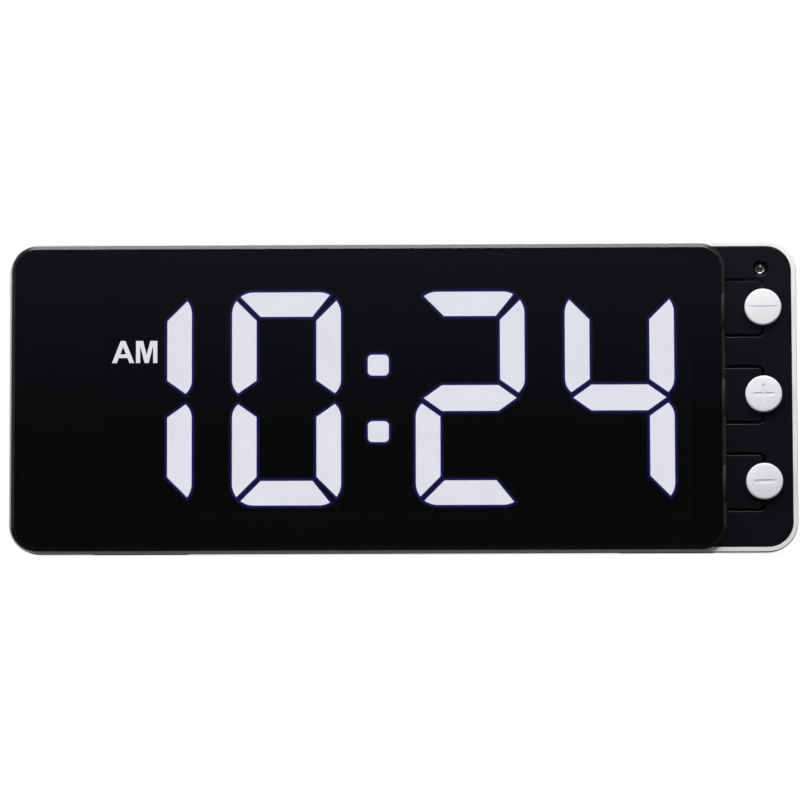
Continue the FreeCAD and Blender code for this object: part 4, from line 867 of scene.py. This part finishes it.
def makeSensor(shape):
    low, high = faceBox("light_sensor")
    x, z = (low.x + high.x) / 2, (low.z + high.z) / 2
    flange = (high.x - low.x) / 2
    radius = shape["dome"] * mm
    dome = addRod("sensorDome", (x, low.y, z), radius, (shape["bodyLength"] - shape["flange"]) * mm,
                  shape["domeSides"])
    roundEdges(dome, lambda c, d: c.y < low.y + hair, shape["domeRound"] * radius, shape["domeSegments"])
    edit(dome, "FACE", lambda c, n: n.y > nearly)
    pull((0, 0, 0))
    bpy.ops.transform.resize(value=[flange / radius] * 3)
    pull((0, shape["flange"] * mm, 0))
    done()
    soften(dome, shape["flangeEdge"] * mm)
    finished(dome, finishes["sensorClear"], "light_sensor", ["light_sensor"])
    front = low.y + shape["cupBack"] * mm
    cup = addRod("sensorCup", (x, front, z), shape["cup"] * mm, shape["cupLength"] * mm, shape["cupSides"])
    edit(cup, "FACE", lambda c, n: n.y < -nearly)
    bpy.ops.mesh.inset(thickness=shape["cupRim"] * mm)
    pull((0, shape["cupDepth"] * mm, 0))
    bpy.ops.transform.resize(value=(shape["cupTaper"], 1, shape["cupTaper"]))
    done()
    soften(cup, shape["cupEdge"] * mm)
    leads = []
    thick = shape["lead"] * mm
    for side in (-1, 1):
        middle = x + side * shape["leadSpread"] * mm / 2
        lead = addBox("lead", (middle - thick, front + shape["leadFrom"] * mm, z - thick),
                      (middle + thick, high.y, z + thick))
        soften(lead, shape["leadEdge"] * mm)
        leads.append(lead)
    metal = joinPieces("sensorCup", [cup] + leads)
    finished(metal, finishes["platedMetal"], "light_sensor")
    half = shape["chip"] * mm
    floorY = front + shape["cupDepth"] * mm
    chip = addBox("sensorChip", (x - half, floorY - shape["chipTop"] * mm, z - half),
                  (x + half, floorY + shape["chipSunk"] * mm, z + half))
    soften(chip, shape["chipEdge"] * mm)
    finished(chip, finishes["chipBlack"], "light_sensor")


makeSensor(sensorShape)
print("light sensor made")


# Knurled focus ring with a sunk mouth

ringShape = {
    "ribs": 60,
    "ribDepth": 0.3,
    "ribEdge": 0.04,
    "mouth": 4.3,              # radius at the bottom of the sloping mouth
    "mouthSlope": 0.9,
    "bore": 8.3,
    "lip": 0.8,                # thickness of the front wall
    "rim": 0.5,
    "rimSegments": 3,
}


def makeFocusRing(shape):
    low, high = faceBox("focus_ring")
    x, y = (low.x + high.x) / 2, (low.y + high.y) / 2
    radius = (high.x - low.x) / 2
    ring = addRod("focusRing", (x, y, low.z), radius, high.z - low.z, 2 * shape["ribs"], "Z")
    middle = Vector((x, y, 0))
    step = math.pi / shape["ribs"]

    def isGroove(c, n):
        place = c - middle
        return abs(n.z) < mostly and math.floor(math.atan2(place.y, place.x) / step) % 2 == 0

    roundEdges(ring, lambda c, d: c.z > high.z - hair, shape["rim"] * mm, shape["rimSegments"])
    edit(ring, "FACE", lambda c, n: isGroove(c, n) and low.z + mm < c.z < high.z - mm)
    bpy.ops.mesh.inset(thickness=shape["ribEdge"] * mm, depth=-shape["ribDepth"] * mm, use_individual=True)
    done()
    edit(ring, "FACE", lambda c, n: n.z > fully)
    bpy.ops.mesh.inset(thickness=radius - shape["rim"] * mm - (shape["mouth"] + shape["mouthSlope"]) * mm)
    pull((0, 0, -shape["lip"] * mm))
    bpy.ops.transform.resize(value=[shape["mouth"] / (shape["mouth"] + shape["mouthSlope"])] * 2 + [1])
    done()
    edit(ring, "FACE", lambda c, n: n.z < -fully)
    bpy.ops.mesh.inset(thickness=radius - shape["bore"] * mm)
    pull((0, 0, high.z - low.z - shape["lip"] * mm - hair / 10))
    done()
    edit(ring, "FACE", lambda c, n: abs(n.z) > nearly and (c - middle).xy.length < mm)
    bpy.ops.mesh.delete(type="FACE")
    edit(ring, "EDGE", lambda c, d: False)
    bpy.ops.mesh.select_non_manifold(extend=False)
    bpy.ops.mesh.bridge_edge_loops()
    done()
    finished(ring, finishes["ringBlack"], "focus_ring", ["focus_ring"], smooth=30)


makeFocusRing(ringShape)
print("focus ring made")


# Screws with a rounded head and a cross recess

screwShape = {
    "sides": 40,
    "head": 1.8,
    "headRound": 0.7,
    "headSegments": 5,
    "shank": 0.55,             # shank to head
    "recess": (2.6, 0.62),     # length and width of each slot of the cross
    "recessDepth": 0.9,
    "softening": 0.05,
}


def makeScrew(low, high, along, shape):
    # the head is at the high end
    axis = "XYZ".index(along)
    radius = min(b - a for i, (a, b) in enumerate(zip(low, high)) if i != axis) / 2
    middle = (low + high) / 2
    start = middle.copy()
    start[axis] = high[axis]
    screw = addRod("screw", start, radius, -shape["head"] * mm, shape["sides"], along)
    roundEdges(screw, lambda c, d: c[axis] > high[axis] - hair,
               shape["headRound"] * mm, shape["headSegments"])
    edit(screw, "FACE", lambda c, n: n[axis] < -nearly)
    bpy.ops.mesh.inset(thickness=radius * (1 - shape["shank"]))
    reach = [0, 0, 0]
    reach[axis] = low[axis] - high[axis] + shape["head"] * mm
    pull(reach)
    done()
    length, width = (value * mm for value in shape["recess"])
    others = [i for i in range(3) if i != axis]
    for across in (others, others[::-1]):
        a, b = middle.copy(), middle.copy()
        a[across[0]] -= length / 2
        b[across[0]] += length / 2
        a[across[1]] -= width / 2
        b[across[1]] += width / 2
        a[axis] = high[axis] - shape["recessDepth"] * mm
        b[axis] = high[axis] + mm
        carve(screw, addBox("recess", a, b))
    soften(screw, shape["softening"] * mm, angle=40)
    return screw


def makeScrews(name, label, along, shape):
    boxes = looseBoxes(name)
    first = makeScrew(*boxes[0], along, shape)
    screws = [first] + [copyPiece(first, low - boxes[0][0]) for low, high in boxes[1:]]
    finished(joinPieces(label, screws), finishes["screwSteel"], name, [name])


makeScrews("case_screws", "caseScrews", "Y", screwShape)
print("screws made")


# Every node that still shows keeps its shape and gets its finish

slotFinishes = {
    "case_white": "caseWhite", "panel_black": "panelBlack", "smoked_lens": "smokedLens",
    "adhesive_tape": "tapeBlack", "reflector": "reflectorBlack", "segment_dark": "segmentDark",
    "segment_lit": "segmentLit", "led_package": "ledPackage", "circuit_board": "circuitBoard",
    "screw_steel": "screwSteel", "switch_black": "switchBlack", "sensor_clear": "sensorClear",
    "chip_black": "chipBlack", "plated_metal": "platedMetal", "foot_rubber": "footRubber",
    "drum_grey": "drumGrey", "optics_glass": "opticsGlass", "slide_film": "slideFilm",
    "ring_black": "ringBlack", "cell_steel": "cellSteel", "contact_brass": "contactBrass",
    "knob_black": "knobBlack", "button_white": "buttonWhite", "plunger_brown": "plungerBrown",
}
for nodeName, node in nodes.items():
    for materialSlot in node.material_slots:
        materialSlot.material = finishes[slotFinishes[slots[nodeName]]]
print("nodes dressed")


# Moulded parts get their edges rounded: width in millimetres and number of steps

softParts = {
    "rear_shell": (0.5, 3), "front_panel": (0.28, 3), "mode_tongue": (0.28, 3), "plus_tongue": (0.28, 3),
    "minus_tongue": (0.28, 3), "projector_cradle": (0.4, 3), "drum_top": (0.3, 3), "drum_bottom": (0.3, 3),
    "battery_door": (0.3, 3), "slide_knob": (0.15, 2), "front_foot_left": (0.5, 3),
    "front_foot_right": (0.5, 3), "rear_foot_left": (0.4, 3), "rear_foot_right": (0.4, 3),
    "power_socket": (0.1, 2),
}


def makeSoftPart(name, width, segments):
    piece = mergedCopy(name, camelName(name, "Moulding"))
    soften(piece, width * mm, segments, 30)
    finished(piece, finishes[slotFinishes[slots[name]]], name, [name], smooth=35)


for partName, (edgeWidth, edgeSteps) in softParts.items():
    makeSoftPart(partName, edgeWidth, edgeSteps)
print("moulded parts rounded")


# Floor, light and surroundings

studio = {
    "floorColour": (0.6, 0.6, 0.6),
    "floorDim": (0.08, 0.08, 0.08),      # the paper as the clock sees it, so its face stays dark
    "floorGlow": 0.8,                    # keeps the paper white for the camera alone
    "floorSize": 6.0,
    "floorSkin": {"Grain": 900.0, "Unevenness": 4.0},
    "skyLow": (0.062, 0.062, 0.08),      # what the face reflects, just above the horizon
    "skyRise": (0.18, 0.18, 0.26),       # and a little higher, in its upper part
    "skyHigh": (0.45, 0.45, 0.46),
    "overhead": (4.6, 4.7, 5.1),         # soft light right above, which the lens's upper edge catches
    "overheadSoft": (1.0, 1.0, 1.04),    # the same place as it lights the white shell
    "riseFrom": (0.215, 0.275),          # heights on a ball of radius 1 round the clock
    "highFrom": (0.35, 0.8),
    "behindFrom": (-0.35, 0.3),
    "overheadFrom": (0.84, 0.975),
}
panelLights = {
    "frontFill": {"radiance": 6.7, "size": (0.4, 0.2), "place": (0.1, -0.26, 0.37), "aim": (0.02, 0, 0.04),
                  "seen": True},
    "leftFill": {"radiance": 5.0, "size": (0.6, 0.5), "place": (-0.95, -0.35, 0.35), "aim": (0, 0, 0.04),
                 "seen": False},
    "rearLeft": {"radiance": 4.2, "size": (0.6, 0.5), "place": (-0.85, 0.95, 0.42), "aim": (0, 0, 0.04),
                 "seen": False},
    "rearRight": {"radiance": 2.0, "size": (0.6, 0.5), "place": (0.95, 0.6, 0.5), "aim": (0, 0, 0.04),
                  "seen": False},
}


def addPanelLight(name, look):
    # radiance times area gives the power
    light = bpy.data.lights.new(name, "AREA")
    light.shape = "RECTANGLE"
    light.size, light.size_y = look["size"]
    light.energy = math.pi * look["radiance"] * look["size"][0] * look["size"][1]
    panel = bpy.data.objects.new(name, light)
    bpy.context.scene.collection.objects.link(panel)
    panel.location = look["place"]
    panel.rotation_euler = (Vector(look["aim"]) - panel.location).to_track_quat("-Z", "Y").to_euler()
    panel.visible_camera = False
    panel.visible_glossy = look["seen"]


for lightName, lightSettings in panelLights.items():
    addPanelLight(lightName, lightSettings)


def makeFloor(look):
    clearSelection()
    bpy.ops.mesh.primitive_grid_add(x_subdivisions=8, y_subdivisions=8, size=look["floorSize"])
    floor = bpy.context.object
    floor.name = "floor"
    finish, tree, shader = newFinish("floorPaper")
    skin = placeGroup(tree, mouldedSkin, look["floorSkin"])
    colour = look["floorColour"]
    paper = mixColour(tree, skin.outputs["Tone"], colour, tuple(0.99 * c for c in colour))
    seen = addNode(tree, "ShaderNodeLightPath")
    link(tree, mixColour(tree, seen.outputs["Is Camera Ray"], look["floorDim"], paper),
         shader.inputs["Base Color"])
    shader.inputs["Roughness"].default_value = 0.9
    shader.inputs["Specular IOR Level"].default_value = 0.1
    shader.inputs["Emission Color"].default_value = (1, 1, 1, 1)
    link(tree, combine(tree, "MULTIPLY", seen.outputs["Is Camera Ray"], look["floorGlow"]),
         shader.inputs["Emission Strength"])
    floor.data.materials.append(finish)


def makeSurroundings(look):
    # dim in front of the face, brighter above and behind; the camera itself sees plain white
    world = bpy.data.worlds.new("studio")
    bpy.context.scene.world = world
    world.use_nodes = True
    tree = world.node_tree
    tree.nodes.clear()
    place = addNode(tree, "ShaderNodeTexCoord")
    parts = addNode(tree, "ShaderNodeSeparateXYZ")
    link(tree, place.outputs["Generated"], parts.inputs[0])
    high = ramp(tree, parts.outputs["Z"], *look["highFrom"])
    behind = ramp(tree, parts.outputs["Y"], *look["behindFrom"])
    mask = combine(tree, "MAXIMUM", high, behind)
    dim = mixColour(tree, ramp(tree, parts.outputs["Z"], *look["riseFrom"]), look["skyLow"], look["skyRise"])
    colour = mixColour(tree, mask, dim, look["skyHigh"])
    start, end = look["overheadFrom"]
    above = addNode(tree, "ShaderNodeMapRange", {"From Min": start, "From Max": end},
                    interpolation_type="SMOOTHSTEP")
    link(tree, parts.outputs["Z"], above.inputs["Value"])
    seen = addNode(tree, "ShaderNodeLightPath")
    glow = mixColour(tree, seen.outputs["Is Glossy Ray"], look["overheadSoft"], look["overhead"])
    colour = mixColour(tree, above.outputs["Result"], colour, glow)
    colour = mixColour(tree, seen.outputs["Is Camera Ray"], colour, (1.0, 1.0, 1.0))
    background = addNode(tree, "ShaderNodeBackground")
    link(tree, colour, background.inputs["Color"])
    output = addNode(tree, "ShaderNodeOutputWorld")
    link(tree, background.outputs[0], output.inputs["Surface"])


makeFloor(studio)
makeSurroundings(studio)
bpy.context.scene.view_settings.view_transform = "Standard"
print("studio ready")
